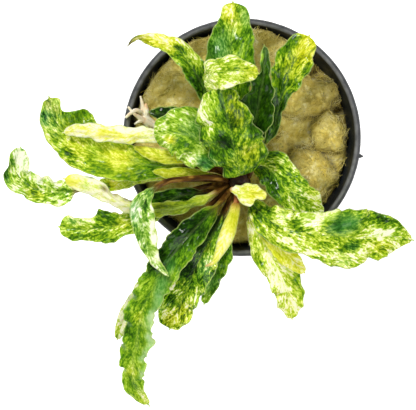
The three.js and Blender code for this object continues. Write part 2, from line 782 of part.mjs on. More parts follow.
// Side and upper-face directions along the midrib: level in the middle of the blade, and
// carried both ways from there without twist. roll is added on top.
function leafFrames(curve, stations, middle, roll, start) {
  const tangents = stations.map((u) => curve.getTangentAt(u));
  const frames = new Array(stations.length);
  const away = stations.map((u) => Math.abs(u - middle));
  const home = away.indexOf(Math.min(...away));
  const up = new THREE.Vector3(0, 0, 1);
  frames[home] = up.addScaledVector(tangents[home], -up.dot(tangents[home])).normalize();
  const carry = (from, to) => {
    const turn = new THREE.Quaternion().setFromUnitVectors(tangents[from], tangents[to]);
    frames[to] = frames[from].clone().applyQuaternion(turn);
  };
  for (let i = home + 1; i < stations.length; i++) carry(i - 1, i);
  for (let i = home - 1; i >= 0; i--) carry(i + 1, i);
  return stations.map((u, i) => {
    const share = THREE.MathUtils.clamp((u - start) / (1 - start), 0, 1);
    const half = share * 2;
    const angle = half < 1 ? lerp(roll[0], roll[1], smooth(half)) : lerp(roll[1], roll[2], smooth(half - 1));
    const face = frames[i].applyAxisAngle(tangents[i], rad(angle));
    return { face, side: face.clone().cross(tangents[i]).normalize() };
  });
}

// One section of the leaf, as a ring of eight points: five over the top, three under.
function leafSection(leaf, share, middle, { face, side }) {
  const stalk = lerp(PETIOLE_RADIUS, TIP_RADIUS, THREE.MathUtils.clamp(share, 0, 1));
  const spread = leaf.rolled ? 0 : smooth(share * 8);
  const left = Math.max(stalk, bladeWidth(leaf.blade, share, 1));
  const right = Math.max(stalk, bladeWidth(leaf.blade, share, 2));
  const round = 0.85 * (leaf.rolled ? left : stalk);
  const flat = (BLADE_THICKNESS / 2) * Math.sqrt(Math.min(1, Math.min(left, right)));
  return RING.map(([v, top]) => {
    const across = Math.abs(v);
    const half = v > 0 ? left : right;
    const fold = rad(leaf.fold) * spread;
    const bend = rad(leaf.cup) * spread + 1e-6;
    const reach = (half * (Math.sin(fold + bend * across) - Math.sin(fold))) / bend;
    const lift = (half * (Math.cos(fold) - Math.cos(fold + bend * across))) / bend;
    const lean = fold + bend * across;
    const swing = Math.sin(2 * Math.PI * leaf.waves * share + (v > 0 ? 0.4 : 2.3));
    const ripple = leaf.ruffle * across ** 2 * swing * spread * smooth((1 - share) * 5);
    const thick = lerp(round * Math.sqrt(1 - across ** 2), flat * (1 - across ** 3), spread);
    const sideways = Math.sign(v) * (reach - Math.sin(lean) * ripple);
    return middle
      .clone()
      .addScaledVector(side, sideways)
      .addScaledVector(face, lift + Math.cos(lean) * ripple + top * thick);
  });
}

function leafPiece(leaf) {
  const foot = petioleFoot(leaf.foot);
  const points = [foot, ...leaf.midrib.map((p) => new THREE.Vector3(...p))];
  const curve = new THREE.CatmullRomCurve3(points);
  const length = curve.getLength();
  const stalkRings = Math.max(2, Math.round((leaf.start * length) / RING_SPACING));
  const bladeRings = Math.max(5, Math.round(((1 - leaf.start) * length) / RING_SPACING));
  const stations = [];
  for (let i = 0; i < stalkRings; i++) stations.push((leaf.start * i) / stalkRings);
  for (let i = 0; i <= bladeRings; i++) stations.push(lerp(leaf.start, 1, (LAST_RING * i) / bladeRings));
  const frames = leafFrames(curve, stations, lerp(leaf.start, 1, 0.5), leaf.roll, leaf.start);
  const rings = stations.map((u, i) => {
    const share = (u - leaf.start) / (1 - leaf.start);
    return leafSection(leaf, share, curve.getPointAt(u), frames[i]);
  });
  const geometry = skin([[foot], ...rings, [curve.getPointAt(1)]], UNDERSIDE);
  return piece(leaf.name, geometry, leaf.colour, 0.35);
}

// Pale roots that lie on the wool and hook over the pot's left lip.
function roots() {
  const strands = [
    [[-17, 1.2, 46.4], [-19.6, 3.2, 46.6], [-21.5, 5, 47.6], [-21.7, 7, 48.4], [-21.8, 9, 48.8]],
    [[-19.6, 3.2, 46.6], [-22, 4.2, 48.4], [-23.6, 5.2, 50.3], [-24.8, 6.6, 51]],
    [[-21.5, 5, 47.6], [-23, 5.6, 49.6], [-24.2, 5.2, 51], [-25.4, 4.2, 51]],
  ];
  const radius = 0.5;
  let solid = null;
  for (const strand of strands) {
    const curve = new THREE.CatmullRomCurve3(strand.map((p) => new THREE.Vector3(...p)));
    const section = new THREE.Shape();
    section.absarc(0, 0, radius, 0, 2 * Math.PI);
    const tube = new THREE.ExtrudeGeometry(section, { extrudePath: curve, steps: 6, curveSegments: 2 });
    const made = toManifold(tube);
    solid = solid ? solid.add(made) : made;
  }
  return piece("roots", fromManifold(solid), "root", 0.6);
}

const plant = new THREE.Group();
plant.add(netPot(), woolPlug(), ...TUFTS.map(woolTuft), rhizome(), roots(), ...LEAVES.map(leafPiece));

export default plant;
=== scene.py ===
"""A variegated bucephalandra growing in a slotted net pot of stone wool.

Shapes are worked out in millimetres and turned to metres when a mesh is made. +Z is up, and the
origin is the centre of the pot's underside.
"""
import math

import bpy
import numpy as np
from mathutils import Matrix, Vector


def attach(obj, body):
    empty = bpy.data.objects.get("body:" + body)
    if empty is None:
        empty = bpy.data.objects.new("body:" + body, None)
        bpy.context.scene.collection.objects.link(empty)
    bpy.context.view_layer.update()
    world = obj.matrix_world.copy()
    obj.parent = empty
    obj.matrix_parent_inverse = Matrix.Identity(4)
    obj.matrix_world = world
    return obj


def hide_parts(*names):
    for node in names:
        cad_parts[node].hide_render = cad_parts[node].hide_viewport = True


MM = 0.001

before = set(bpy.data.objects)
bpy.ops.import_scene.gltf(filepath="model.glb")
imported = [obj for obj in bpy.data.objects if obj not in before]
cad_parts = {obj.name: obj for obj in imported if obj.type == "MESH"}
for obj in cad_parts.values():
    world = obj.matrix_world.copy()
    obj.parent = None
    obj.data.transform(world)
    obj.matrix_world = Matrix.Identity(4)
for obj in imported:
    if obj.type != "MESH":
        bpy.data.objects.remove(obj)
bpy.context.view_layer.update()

# Sizes of the solids, repeated from the part's source.
POT_HEIGHT = 50
RIM_RADIUS = 26
RIM_DEPTH = 3.4
WALL = 1.15
FLOOR = 1.4
MOUTH_RADIUS = 24.4
FOOT_RADIUS = 18
CLEARANCE = 0.35
SLOT_WIDTH = 3.4
SLOT_TIERS = ((7, 21.5), (25.5, 40.5))
FLOOR_SLOT_REACH = (7, 16)
WOOL_TOP = 45.4
RHIZOME_FOOT = np.array((-0.6, -9.6, 46.9))
RHIZOME_TOP = np.array((-1.0, -9.3, 59.2))
RHIZOME_RADII = (2.5, 2.1, 2.3, 1.9, 2.0, 1.2)
PETIOLE_RADIUS = 0.62
TIP_RADIUS = 0.16

# The photo is taken from straight above, with 90.7 mm across the frame at the pot's rim.
CAMERA_PLACE = (-7.4, -14.8, 650)
FRAME_WIDTH = 90.7
SENSOR_WIDTH = 36
PLANT_MIDDLE = (-5, -8, 55)  # what the lights are aimed at


def patch(x, y, reach, pale=0.0, warm=0.0, blue_and_sheen=0.0, brown=0.0, plain=0.0):
    """A place on a leaf where its colour changes, and by how much.

    x and y are where it is seen from above, and reach its size, in millimetres at the rim's
    height. plain is how much the marbling fades there; below 0 it grows stronger. Its blue-green
    share is partly the leaf's own tint and partly a painted sheen of reflected light, which is
    paler and less marbled.
    """
    return (x, y), reach, (pale, warm, blue_and_sheen), brown, plain


# Each leaf: slot is its finish, foot where its petiole leaves the rhizome (azimuth in degrees,
# height), and midrib the points it runs through. start is where the blade begins, as a share of the
# leaf's length. blade lists a share of the blade's own length with the half-width there on the left
# and the right. roll turns the blade about its midrib, in degrees at its start, middle and tip, if
# it turns at all. fold raises both halves from the midrib and cup bends them on towards the margin,
# both in degrees. ruffle is the height of the margin's waves, waves how many there are, and lobes
# the depth of its lobes. tone says how pale, how yellow and how blue-green the blade is, and how
# strong its marbling is.
# The blue-green of tone and of patches is partly a painted sheen of reflected light, and some dark patches
# are painted shade, as marked below.
LEAVES = [
    dict(name="leaf_back", slot="leaf_green", foot=(95, 52), start=0.28, roll=(0, -6, 4),
        midrib=[(-1.6, -3, 57), (-1.7, 2.7, 61), (-2.3, 8.5, 64), (-2.4, 14.2, 66), (-2.5, 19, 67),
            (-2.1, 23.9, 66.5), (-2.1, 28.6, 64.5)],
        blade=[(0.15, 3, 2.5), (0.4, 5.1, 4.5), (0.62, 5.3, 5), (0.72, 4.6, 4.7), (0.8, 3.6, 4.1),
            (0.87, 2.7, 3.7), (0.93, 2.5, 3.1)],
        fold=8, cup=-22, ruffle=0.5, waves=4, lobes=0.25, tone=(0.5, 0.1, 0.1, 0.9),
        patches=[patch(-3, 27.5, 2.2, pale=0.22, warm=0.6),
            patch(-5, 19.5, 2.6, pale=-0.08, blue_and_sheen=0.5), patch(0.5, 26, 1.8, blue_and_sheen=0.3),
            patch(1.5, 22, 2, pale=-0.08), patch(-1, 24.5, 1.8, pale=0.1, warm=0.3),
            patch(-2.5, 19, 1.5, pale=0.05, warm=0.2)]),
    dict(name="leaf_back_left_hooked", slot="leaf_green", foot=(125, 53.5), start=0.36, roll=(-10, 10, 20),
        midrib=[(-4.3, -4, 57), (-6, 3.6, 61), (-9, 11.4, 63.8), (-11.2, 15.2, 65),
            (-13.6, 18.1, 65.5), (-16.5, 19.7, 65.5), (-19.7, 20.6, 65), (-22.9, 20.8, 63.5),
            (-24.6, 19.1, 62)],
        blade=[(0.15, 1.7, 1.6), (0.35, 2.5, 2.6), (0.55, 2.3, 2.1), (0.7, 1.9, 1.5),
            (0.85, 1.1, 0.7), (0.96, 0.45, 0.35)],
        fold=16, cup=-10, ruffle=0.45, waves=5, lobes=0.3, tone=(0.56, 0.3, 0, 1),
        patches=[patch(-17, 21.8, 2.6, pale=0.18, warm=0.4), patch(-21, 21, 3, pale=0.12, warm=0.3),
            patch(-24.4, 20.2, 1.6, brown=0.8), patch(-22, 21, 1.3, brown=0.45),
            patch(-13.8, 18.5, 1.5, pale=-0.2), patch(-11.5, 14, 1.7, pale=-0.2),
            patch(-9.3, 10.8, 2, pale=-0.3), patch(-10.3, 17.5, 1.2, pale=0.3),
            patch(-15.8, 19, 1.2, pale=0.12, warm=0.2), patch(-12.5, 20.5, 1, pale=0.25)]),
    # Its dark tone is partly painted shade: its curled right half lies in shadow under the leaves above.
    dict(name="leaf_inner_right", slot="leaf_dark", foot=(62, 55), start=0.25, roll=(0, 5, 40),
        midrib=[(0.8, -3, 59.5), (2.7, 3.1, 64), (3.7, 8.8, 67.5), (4.4, 14, 70),
            (4.4, 18.9, 71.5)],
        blade=[(0.15, 3.4, 3), (0.35, 4.8, 3.6), (0.5, 4.4, 3.2), (0.63, 2.6, 2.2), (0.8, 1.5, 1.4),
            (0.93, 1, 1)],
        fold=15, cup=10, ruffle=0.6, waves=4, lobes=0.5, tone=(0.2, 0, 0, 0.6),
        patches=[patch(4, 17.5, 1, pale=0.55), patch(2.5, 10, 1.6, pale=0.1)]),
    dict(name="leaf_back_right", slot="leaf_green", foot=(45, 52.5), start=0.22, roll=(20, 0, -6),
        midrib=[(3, -3.5, 55), (6.6, 0.8, 57.5), (7.7, 6.1, 60), (9.5, 11.5, 62),
            (11.6, 16.8, 63.5), (14.3, 21.5, 63.5)],
        blade=[(0.12, 1.4, 0.9), (0.32, 2.6, 1.1), (0.5, 3.1, 2), (0.6, 3.8, 3.1), (0.7, 4.1, 3.4),
            (0.8, 4.1, 3.6), (0.92, 3.1, 2.7)],
        fold=8, cup=-12, ruffle=0.6, waves=5, lobes=0.4, tone=(0.5, 0.35, 0, 1),
        patches=[patch(14.5, 20, 2.4, pale=0.14, warm=0.7), patch(11, 15, 2.4, pale=0.08, warm=0.2),
            patch(11, 21, 1.2, pale=-0.15), patch(8, 11, 2, pale=-0.1),
            # The patch at (7, 4) is painted shade: the blade's base lies in shadow under the leaves beside
            # it.
            patch(9.2, 8.5, 1, pale=0.15, blue_and_sheen=0.3), patch(7, 4, 4, pale=-0.35)]),
    dict(name="leaf_centre_right", slot="leaf_green", foot=(80, 57), start=0.16,
        midrib=[(-0.5, -7, 60), (-0.6, -8.2, 62.8), (-0.9, -6.4, 65.8), (-2, -2.4, 70),
            (-3, 2.3, 73.5), (-4.1, 6.5, 75.6), (-4.6, 9.9, 76.2)],
        blade=[(0.1, 3.6, 5.2), (0.25, 4.8, 6.8), (0.45, 6.2, 6.6), (0.62, 6.8, 5.4),
            (0.8, 6.2, 4.2), (0.93, 4.4, 3.2)],
        fold=10, cup=-38, ruffle=0.7, waves=4, lobes=0.3, tone=(0.45, 0.3, 0, 1),
        patches=[patch(-1.5, 4, 2, warm=0.3), patch(-7.8, 5.4, 1.8, pale=0.42, warm=-0.3),
            patch(-8.9, 7.6, 1.3, pale=0.3, blue_and_sheen=0.3), patch(-6.6, 2.6, 1.2, pale=0.4, warm=-0.2),
            patch(-4, -1.5, 1.8, pale=-0.34), patch(-4.3, 3.6, 1.1, pale=-0.2),
            patch(-3, 4.5, 2.2, pale=-0.05), patch(-2, 7.5, 2.4, pale=0.05, warm=0.2),
            patch(-7.5, -4.5, 1.6, blue_and_sheen=0.7), patch(1.5, -3, 2.4, pale=0.1, warm=0.3),
            # The patch at (-2.3, -4) is a painted highlight: a whitish-blue glossy spot.
            patch(-2.3, -4, 0.9, pale=0.2, blue_and_sheen=0.5), patch(-2, -8, 2, pale=-0.05)]),
    dict(name="leaf_centre_left", slot="leaf_pale", foot=(160, 57), start=0.25,
        midrib=[(-4.5, -6.5, 61.5), (-7.6, -3.3, 65.5), (-11, -0.4, 68.2), (-15, 0.5, 69),
            (-19, 0.1, 66.8)],
        blade=[(0.12, 3.8, 5.4), (0.35, 5.4, 7), (0.6, 5.4, 6.2), (0.8, 4.5, 4.6), (0.93, 3, 3)],
        fold=8, cup=-30, ruffle=0.6, waves=4, lobes=0.3, tone=(0.67, 0.05, 0.25, 0.9),
        patches=[patch(-8.3, -5.5, 1.3, pale=-0.25, blue_and_sheen=0.9), patch(-17, 0, 1.6, pale=0.12),
            patch(-15.5, -0.5, 1, pale=-0.05, warm=0.7),
            patch(-12.5, -1.8, 1.4, pale=-0.1, warm=0.2), patch(-14, 3.5, 2, pale=0.08),
            patch(-9, 2, 2, pale=-0.05, blue_and_sheen=0.3), patch(-14.5, -4.8, 1.4, pale=0.2),
            patch(-11.5, -5.4, 1, pale=0.18), patch(-18.3, 2.6, 1, pale=0.2)]),
    dict(name="leaf_centre_curled", slot="leaf_pale", foot=(110, 55), start=0.5,
        midrib=[(-3.2, -3, 59), (-5, 4, 63), (-7.2, 9.5, 67.5), (-8, 12, 73), (-6, 12.6, 78.3),
            (-2, 12.9, 80), (3.3, 12.5, 78.5)],
        blade=[(0.12, 1.7, 2.2), (0.35, 2.6, 3.2), (0.6, 3.2, 3.6), (0.8, 2.9, 2.8),
            (0.93, 1.8, 1.6)],
        fold=6, cup=-22, ruffle=0.4, waves=3, lobes=0.25, tone=(0.76, 0.3, 0, 0.9),
        patches=[patch(-6.5, 12.5, 1.6, pale=0.1), patch(-1, 15, 1.8, pale=-0.08),
            patch(-3, 11, 1.4, pale=0.12), patch(-4, 13.3, 1, pale=-0.12),
            patch(2.5, 14, 1.8, warm=0.2)]),
    dict(name="leaf_right_inner", slot="leaf_green", foot=(20, 54), start=0.12,
        midrib=[(2.6, -6.3, 57), (6, -7.2, 59), (9.4, -10.9, 59.7), (13, -14, 58.7),
            (17.2, -17.4, 56.3)],
        blade=[(0.12, 3.6, 2.6), (0.3, 4.5, 3.6), (0.55, 4, 3.8), (0.8, 3.4, 3.4), (0.93, 2, 2)],
        fold=8, cup=-15, ruffle=0.5, waves=4, lobes=0.35, tone=(0.63, 0.25, 0, 1.15),
        patches=[patch(13, -12, 3, pale=0.1, blue_and_sheen=0.3), patch(6, -9.5, 2, pale=-0.3),
            patch(5.5, -4, 1.8, pale=-0.15), patch(10, -8.5, 1.6, pale=-0.1),
            patch(16, -13, 1.6, pale=0.1, warm=0.2)]),
    dict(name="leaf_right_long", slot="leaf_pale", foot=(-55, 56), start=0.08, roll=(-10, 0, 4),
        midrib=[(2.2, -14.6, 60.5), (4.7, -17.4, 63), (9.6, -20, 65), (14.4, -20.9, 65.8),
            (19.3, -21.4, 65.4), (24.3, -21.8, 63.8), (29.3, -21.5, 61.8), (33.3, -21.7, 59.8),
            (36.9, -22.4, 58)],
        blade=[(0.1, 2.2, 2.2), (0.25, 4, 4.2), (0.42, 4.6, 4.8), (0.56, 5.7, 6.6),
            (0.64, 6.1, 6.4), (0.71, 6, 5.1), (0.8, 5.1, 4.7), (0.88, 3.6, 3.5), (0.93, 2.4, 2),
            (0.97, 1.1, 0.9)],
        fold=10, cup=-16, ruffle=0.8, waves=6, lobes=0.3, tone=(0.72, 0.35, 0, 1.2),
        patches=[patch(23, -18.4, 2.6, pale=-0.32, blue_and_sheen=0.7, plain=0.6),
            patch(20.5, -19.9, 1.2, pale=-0.26, blue_and_sheen=0.2, plain=0.3),
            patch(28, -17.4, 2, pale=-0.26), patch(32, -18, 2, pale=-0.26),
            patch(16, -17.2, 2.2, pale=0.2, warm=-0.3, plain=0.5),
            patch(19.5, -16.6, 1.2, pale=0.2, warm=-0.3, plain=0.5),
            patch(9.5, -17.5, 1.6, pale=0.08, blue_and_sheen=0.3), patch(24, -24, 1.3, pale=-0.25, blue_and_sheen=0.5),
            patch(30, -20.8, 1.8, pale=0.24, warm=-0.2), patch(33, -21, 1.5, pale=0.2, warm=-0.2),
            patch(22, -27.5, 1.6, pale=-0.08, blue_and_sheen=0.4), patch(12, -19.6, 1.2, pale=-0.3),
            patch(5.5, -16.3, 2.4, pale=-0.34), patch(2.8, -14.8, 1.2, pale=-0.3, blue_and_sheen=0.2),
            patch(30, -24, 2, pale=-0.05, warm=0.2), patch(14, -23, 1.8, pale=0.12)]),
    dict(name="leaf_front_right", slot="leaf_pale", foot=(-75, 51.5), start=0.12,
        midrib=[(2.1, -16, 54.5), (3.9, -20.9, 56.5), (6.2, -25.9, 56), (8.9, -30.9, 54),
            (10.4, -35, 51.5), (11, -39.9, 48.5)],
        blade=[(0.12, 1.6, 1.8), (0.3, 3, 3.4), (0.4, 3.4, 3.8), (0.5, 3.6, 3.4), (0.6, 4.1, 3.1),
            (0.66, 3.9, 3.4), (0.7, 3, 3.6), (0.75, 3.4, 2.9), (0.8, 3.6, 3), (0.85, 2.6, 3.1),
            (0.9, 2.5, 2.2), (0.95, 1.5, 1.4)],
        fold=10, cup=-12, ruffle=0.8, waves=6, lobes=0.2, tone=(0.84, 0.35, 0, 0.95),
        patches=[patch(3, -16.5, 1.8, pale=-0.25, blue_and_sheen=0.3), patch(1.8, -20.5, 1, pale=0.1),
            patch(3.8, -27.5, 1.3, pale=-0.28), patch(12.2, -30.5, 1.3, pale=-0.3),
            patch(13.4, -34, 1, pale=-0.2), patch(9, -33.5, 2, pale=0.06),
            patch(11, -37, 1.8, pale=0.04, warm=0.1)]),
    dict(name="leaf_front_right_yellow", slot="leaf_yellow", foot=(-65, 54), start=0.3,
        midrib=[(1.6, -15, 58), (4.5, -19.5, 60), (8.6, -24.6, 59.6), (13.5, -29.5, 57.5)],
        blade=[(0.2, 1.4, 1.5), (0.5, 2.1, 2.2), (0.8, 1.8, 1.9), (0.93, 1.1, 1.1)],
        fold=10, cup=-10, ruffle=0.35, waves=3, lobes=0.35, tone=(0.74, 1.4, 0, 0.8),
        patches=[patch(12, -27.5, 1.6, pale=0.14), patch(8.5, -26, 1.2, pale=-0.06)]),
    dict(name="leaf_front_dark", slot="leaf_dark", foot=(-95, 50), start=0.2,
        midrib=[(-1.9, -15.5, 53.5), (-3.6, -20.5, 55), (-4.8, -26, 54.8), (-6.3, -31, 53),
            (-8.3, -36.5, 50)],
        blade=[(0.15, 1.5, 1.4), (0.3, 2, 2), (0.44, 2.6, 2.4), (0.55, 2.3, 2.4), (0.7, 1.7, 2.2),
            (0.82, 1.3, 1.8), (0.93, 0.9, 1.1)],
        fold=12, cup=-8, ruffle=0.6, waves=5, lobes=0.4, tone=(0.3, 0, 0.1, 1),
        # The patch at (-4, -19) is painted shade, where the blade lies in shadow beside the young spear.
        patches=[patch(-4, -19, 4, pale=-0.2), patch(-3.5, -29, 1.2, pale=0.12, warm=0.4),
            patch(-7.5, -35.5, 2, pale=0.3), patch(-7.5, -31, 2.4, pale=0.08, blue_and_sheen=0.5)]),
    dict(name="leaf_front_broad", slot="leaf_green", foot=(-112, 52), start=0.18,
        midrib=[(-3.5, -15.3, 55), (-6, -20.4, 57.6), (-9, -26, 58.2), (-11.4, -31.4, 56.5),
            (-13.4, -36.4, 53.5), (-15.8, -42, 50)],
        blade=[(0.12, 2, 2), (0.3, 3.9, 3.8), (0.5, 4, 4.4), (0.7, 3.4, 4.4), (0.86, 3.1, 4.2),
            (0.96, 2, 2.8)],
        fold=10, cup=-10, ruffle=0.7, waves=6, lobes=0.4, tone=(0.54, 0.3, 0, 1.4),
        # The patch at (-8, -20) is painted shade, where the blade lies in shadow between the young spear
        # and the leaves beside it.
        patches=[patch(-12.5, -27.5, 3, pale=-0.46), patch(-8, -20, 4, pale=-0.46),
            patch(-9.5, -31, 1.6, pale=-0.2), patch(-16, -39.5, 1.8, pale=0.16, warm=0.4),
            patch(-12.5, -38.5, 2, pale=0.16, warm=0.3), patch(-15.5, -35.5, 1, pale=-0.35),
            patch(-15.5, -32.5, 1.8, pale=0.32), patch(-13.2, -39.3, 0.8, pale=-0.35),
            patch(-8.2, -28, 1.8, pale=0.1, blue_and_sheen=0.6), patch(-11, -35, 1.4, pale=0.15)]),
    dict(name="leaf_front_long", slot="leaf_green", foot=(-128, 54.5), start=0.1, roll=(0, 8, 0),
        midrib=[(-5, -14.5, 58.3), (-8.5, -18.1, 60.2), (-11.9, -21.7, 61.4), (-15.1, -25.8, 61.4),
            (-17.6, -29.7, 60.4), (-19.8, -33.7, 58.6), (-22, -38.7, 56), (-22.9, -43.9, 52.5),
            (-24, -49.1, 48.8), (-23.8, -54.3, 45), (-20.2, -59.4, 41.5)],
        blade=[(0.06, 2.2, 2), (0.14, 3.2, 3), (0.22, 3.4, 3.3), (0.32, 3.6, 3.4), (0.45, 3.1, 3.3),
            (0.55, 3.1, 3.4), (0.62, 3.8, 2.9), (0.67, 3.6, 2.8), (0.72, 2.9, 3.1),
            (0.78, 3.2, 2.3), (0.85, 2.7, 2.1), (0.92, 1.9, 2.3), (0.97, 1, 1.3)],
        fold=14, cup=-14, ruffle=0.7, waves=9, lobes=0.45, tone=(0.55, 0.15, 0.05, 0.8),
        patches=[patch(-13, -20, 5, pale=-0.5), patch(-18.6, -27, 2.2, pale=-0.4),
            # The plain, pale blue-green patches down the right half, from (-16, -28) to (-21, -52), are a
            # painted sheen of reflected light.
            patch(-16, -28, 1.4, pale=-0.04, blue_and_sheen=0.6, plain=0.5),
            patch(-17.4, -31.8, 1.6, pale=-0.06, blue_and_sheen=0.6, plain=0.5),
            patch(-18.2, -35.6, 1.6, pale=0.04, blue_and_sheen=0.6, plain=0.7),
            patch(-19.2, -38, 1.2, pale=0.12, blue_and_sheen=0.5, plain=0.6),
            patch(-19.6, -40, 1.6, pale=0.24, blue_and_sheen=0.8, plain=0.9),
            patch(-19.6, -44, 1.6, pale=0.24, blue_and_sheen=0.8, plain=0.9),
            patch(-20.6, -48, 1.5, pale=0.2, blue_and_sheen=0.8, plain=0.9),
            patch(-21, -52, 1.5, pale=0.2, blue_and_sheen=0.7, plain=0.9), patch(-25, -42, 1.6, pale=-0.15),
            patch(-26, -47, 1.4, pale=-0.12), patch(-22.5, -39, 1.3, pale=0.1, warm=0.3),
            patch(-24, -51, 1.6, pale=0.08, warm=0.3), patch(-21.5, -57, 2, pale=0.25, warm=0.2)]),
    dict(name="leaf_front_pale", slot="leaf_pale", foot=(-140, 50.5), start=0.4,
        midrib=[(-6.5, -14.5, 52.8), (-12, -20, 54), (-17, -26, 53.6), (-20.2, -31.8, 52),
            (-23.6, -36.9, 49.8), (-26.2, -41, 47.5), (-27.4, -44.5, 45.5)],
        blade=[(0.2, 1.5, 1.5), (0.45, 2.2, 2.2), (0.7, 2, 2), (0.88, 1.3, 1.3), (0.96, 0.8, 0.8)],
        fold=10, cup=0, ruffle=0.5, waves=5, lobes=0.3, tone=(0.97, 0.35, 0.05, 1.1),
        patches=[patch(-27, -43.5, 1.6, pale=-0.15, blue_and_sheen=0.3)]),
    dict(name="leaf_left_hanging", slot="leaf_pale", foot=(183, 57.5), start=0.47,
        midrib=[(-6.5, -8.9, 61), (-11.5, -9.2, 64.2), (-16.3, -9.9, 66), (-19.8, -12.2, 66.8),
            (-21.4, -16, 66.8), (-20.9, -20.8, 66.2), (-19.5, -25.4, 65.2), (-15.8, -30, 64.2)],
        blade=[(0.08, 1.2, 1.2), (0.16, 1.6, 2.3), (0.23, 2.5, 2.8), (0.37, 2.8, 2.2),
            (0.48, 2.7, 2.1), (0.6, 2.3, 1.7), (0.72, 1.7, 1.1), (0.85, 0.9, 1), (0.95, 0.5, 0.5)],
        fold=14, cup=-12, ruffle=0.4, waves=5, lobes=0.25, tone=(0.7, 0.05, 0.42, 1.15),
        # The patch at (-23.8, -16) is a painted sheen on the dark left edge.
        patches=[patch(-20.8, -14.3, 0.9, pale=-0.3), patch(-23.8, -16, 1.3, pale=0.1, blue_and_sheen=0.5),
            patch(-19.3, -15.5, 0.9, pale=0.35, plain=0.8),
            patch(-19.4, -19, 1, pale=0.4, plain=0.9), patch(-19, -22.5, 1, pale=0.4, plain=0.9),
            patch(-18.3, -26, 1.2, pale=0.34, plain=0.9), patch(-17.5, -10.5, 1.6, pale=-0.25),
            patch(-22, -20, 1.4, pale=-0.04)]),
    dict(name="leaf_left_turned", slot="leaf_pale", foot=(200, 55.5), start=0.12, roll=(180, 180, 180),
        midrib=[(-6.5, -12.5, 58.5), (-10.9, -14.6, 59.8), (-17.8, -15.8, 60.8), (-23.7, -15.3, 61),
            (-27.6, -13.7, 61), (-30.6, -11.8, 60.8), (-34.5, -10.1, 60.3), (-38.6, -9.1, 59.5)],
        blade=[(0.12, 1.3, 1.3), (0.35, 1.9, 1.9), (0.52, 1.6, 1.6), (0.68, 1.6, 1.7),
            (0.82, 2.4, 2.3), (0.94, 1.8, 1.8)],
        fold=25, cup=15, ruffle=0.35, waves=6, lobes=0.25, tone=(1.02, 0.25, 0, 0.5),
        patches=[patch(-13, -15.5, 4.8, pale=-0.54, warm=0.3, blue_and_sheen=0.35, brown=0.12),
            patch(-18, -15.8, 2.4, pale=-0.3, warm=0.2, blue_and_sheen=0.2, brown=0.06),
            patch(-38.3, -9.5, 1.8, pale=-0.24, warm=1.2, plain=0.5),
            patch(-25.2, -13.3, 0.7, brown=0.7), patch(-27.5, -12.4, 0.7, brown=0.7),
            patch(-30, -11.2, 0.7, brown=0.7), patch(-34, -10.5, 1.6, pale=-0.16),
            patch(-28, -13.3, 3, warm=0.15, brown=0.06)]),
    dict(name="leaf_left_low", slot="leaf_green", foot=(204, 53), start=0.15,
        midrib=[(-7, -11.8, 55), (-13, -12.8, 56), (-19, -15.2, 56.4), (-23.8, -18.3, 55.8),
            (-27.8, -19.4, 55), (-31.8, -19.9, 54), (-35.8, -20.1, 53), (-40.1, -19.5, 52.3)],
        blade=[(0.1, 1.5, 1.5), (0.3, 2.8, 2.8), (0.43, 2.6, 2.9), (0.58, 2.8, 2.7),
            (0.64, 3.2, 3.2), (0.69, 3.3, 4.4), (0.74, 3.1, 2.8), (0.8, 2.4, 2.4), (0.86, 2.6, 2.5),
            (0.93, 2.1, 3)],
        fold=12, cup=-8, ruffle=0.6, waves=7, lobes=0.4, tone=(0.56, 0.3, 0, 1.05),
        patches=[patch(-12, -12, 4, pale=-0.45), patch(-19, -14, 2.5, pale=-0.3),
            patch(-30.3, -16.2, 1.3, pale=-0.22), patch(-37, -18, 1.4, pale=0.2, blue_and_sheen=0.6),
            patch(-33.5, -18, 1.4, pale=0.2, blue_and_sheen=0.4), patch(-33, -22, 1.4, pale=0.16),
            patch(-29, -21, 1.2, pale=0.1), patch(-26, -19, 1.6, pale=0.08, warm=0.2)]),
    dict(name="leaf_left_far", slot="leaf_green", foot=(190, 49.5), start=0.63,
        midrib=[(-8, -10.8, 51.2), (-16, -13.2, 51.9), (-24, -14.4, 52.4), (-29, -12.9, 53),
            (-33, -11.2, 53.6), (-37.3, -11.8, 54.2), (-42, -12, 55), (-46, -10.7, 56.2),
            (-48.3, -8, 57.5), (-48.4, -5, 58.6), (-47.6, -2.2, 59.3)],
        blade=[(0.08, 2.4, 2.1), (0.18, 3, 2.9), (0.35, 2.8, 3.4), (0.5, 2.7, 3.2), (0.6, 3.4, 2.8),
            (0.7, 3.7, 2.6), (0.8, 2.7, 2.5), (0.9, 2.2, 2.5), (0.96, 1.5, 1.4)],
        fold=14, cup=12, ruffle=0.5, waves=4, lobes=0.3, tone=(0.73, 0.15, 0.25, 1.3),
        patches=[patch(-39, -11.5, 2, pale=-0.16), patch(-51.8, -7.3, 1.2, pale=-0.4, blue_and_sheen=0.3),
            patch(-48.5, -4, 1.5, pale=0.16, blue_and_sheen=0.5),
            patch(-46.8, -7, 1.5, pale=0.26, blue_and_sheen=0.5, plain=0.7),
            patch(-44.2, -8.7, 1.4, pale=0.28, blue_and_sheen=0.4, plain=0.7),
            patch(-41.5, -9.3, 1.3, pale=0.26, blue_and_sheen=0.3, plain=0.7),
            patch(-49, -8.8, 1.3, pale=0.1), patch(-51, -11, 1.5, pale=-0.08),
            patch(-45, -12.5, 1.6, warm=0.3)]),
    dict(name="leaf_left_broad", slot="leaf_green", foot=(150, 53.5), start=0.25,
        midrib=[(-6, -7.2, 57), (-12, -6.6, 59.2), (-19.8, -6.2, 60.4), (-25.7, -5.6, 60.8),
            (-31.5, -3.8, 60.6), (-36.4, -0.6, 60.8), (-39.8, 3, 61.6), (-41.4, 8.5, 63)],
        blade=[(0.12, 2.6, 2.4), (0.3, 3.9, 3.8), (0.48, 4.4, 4.5), (0.58, 4.8, 5.2),
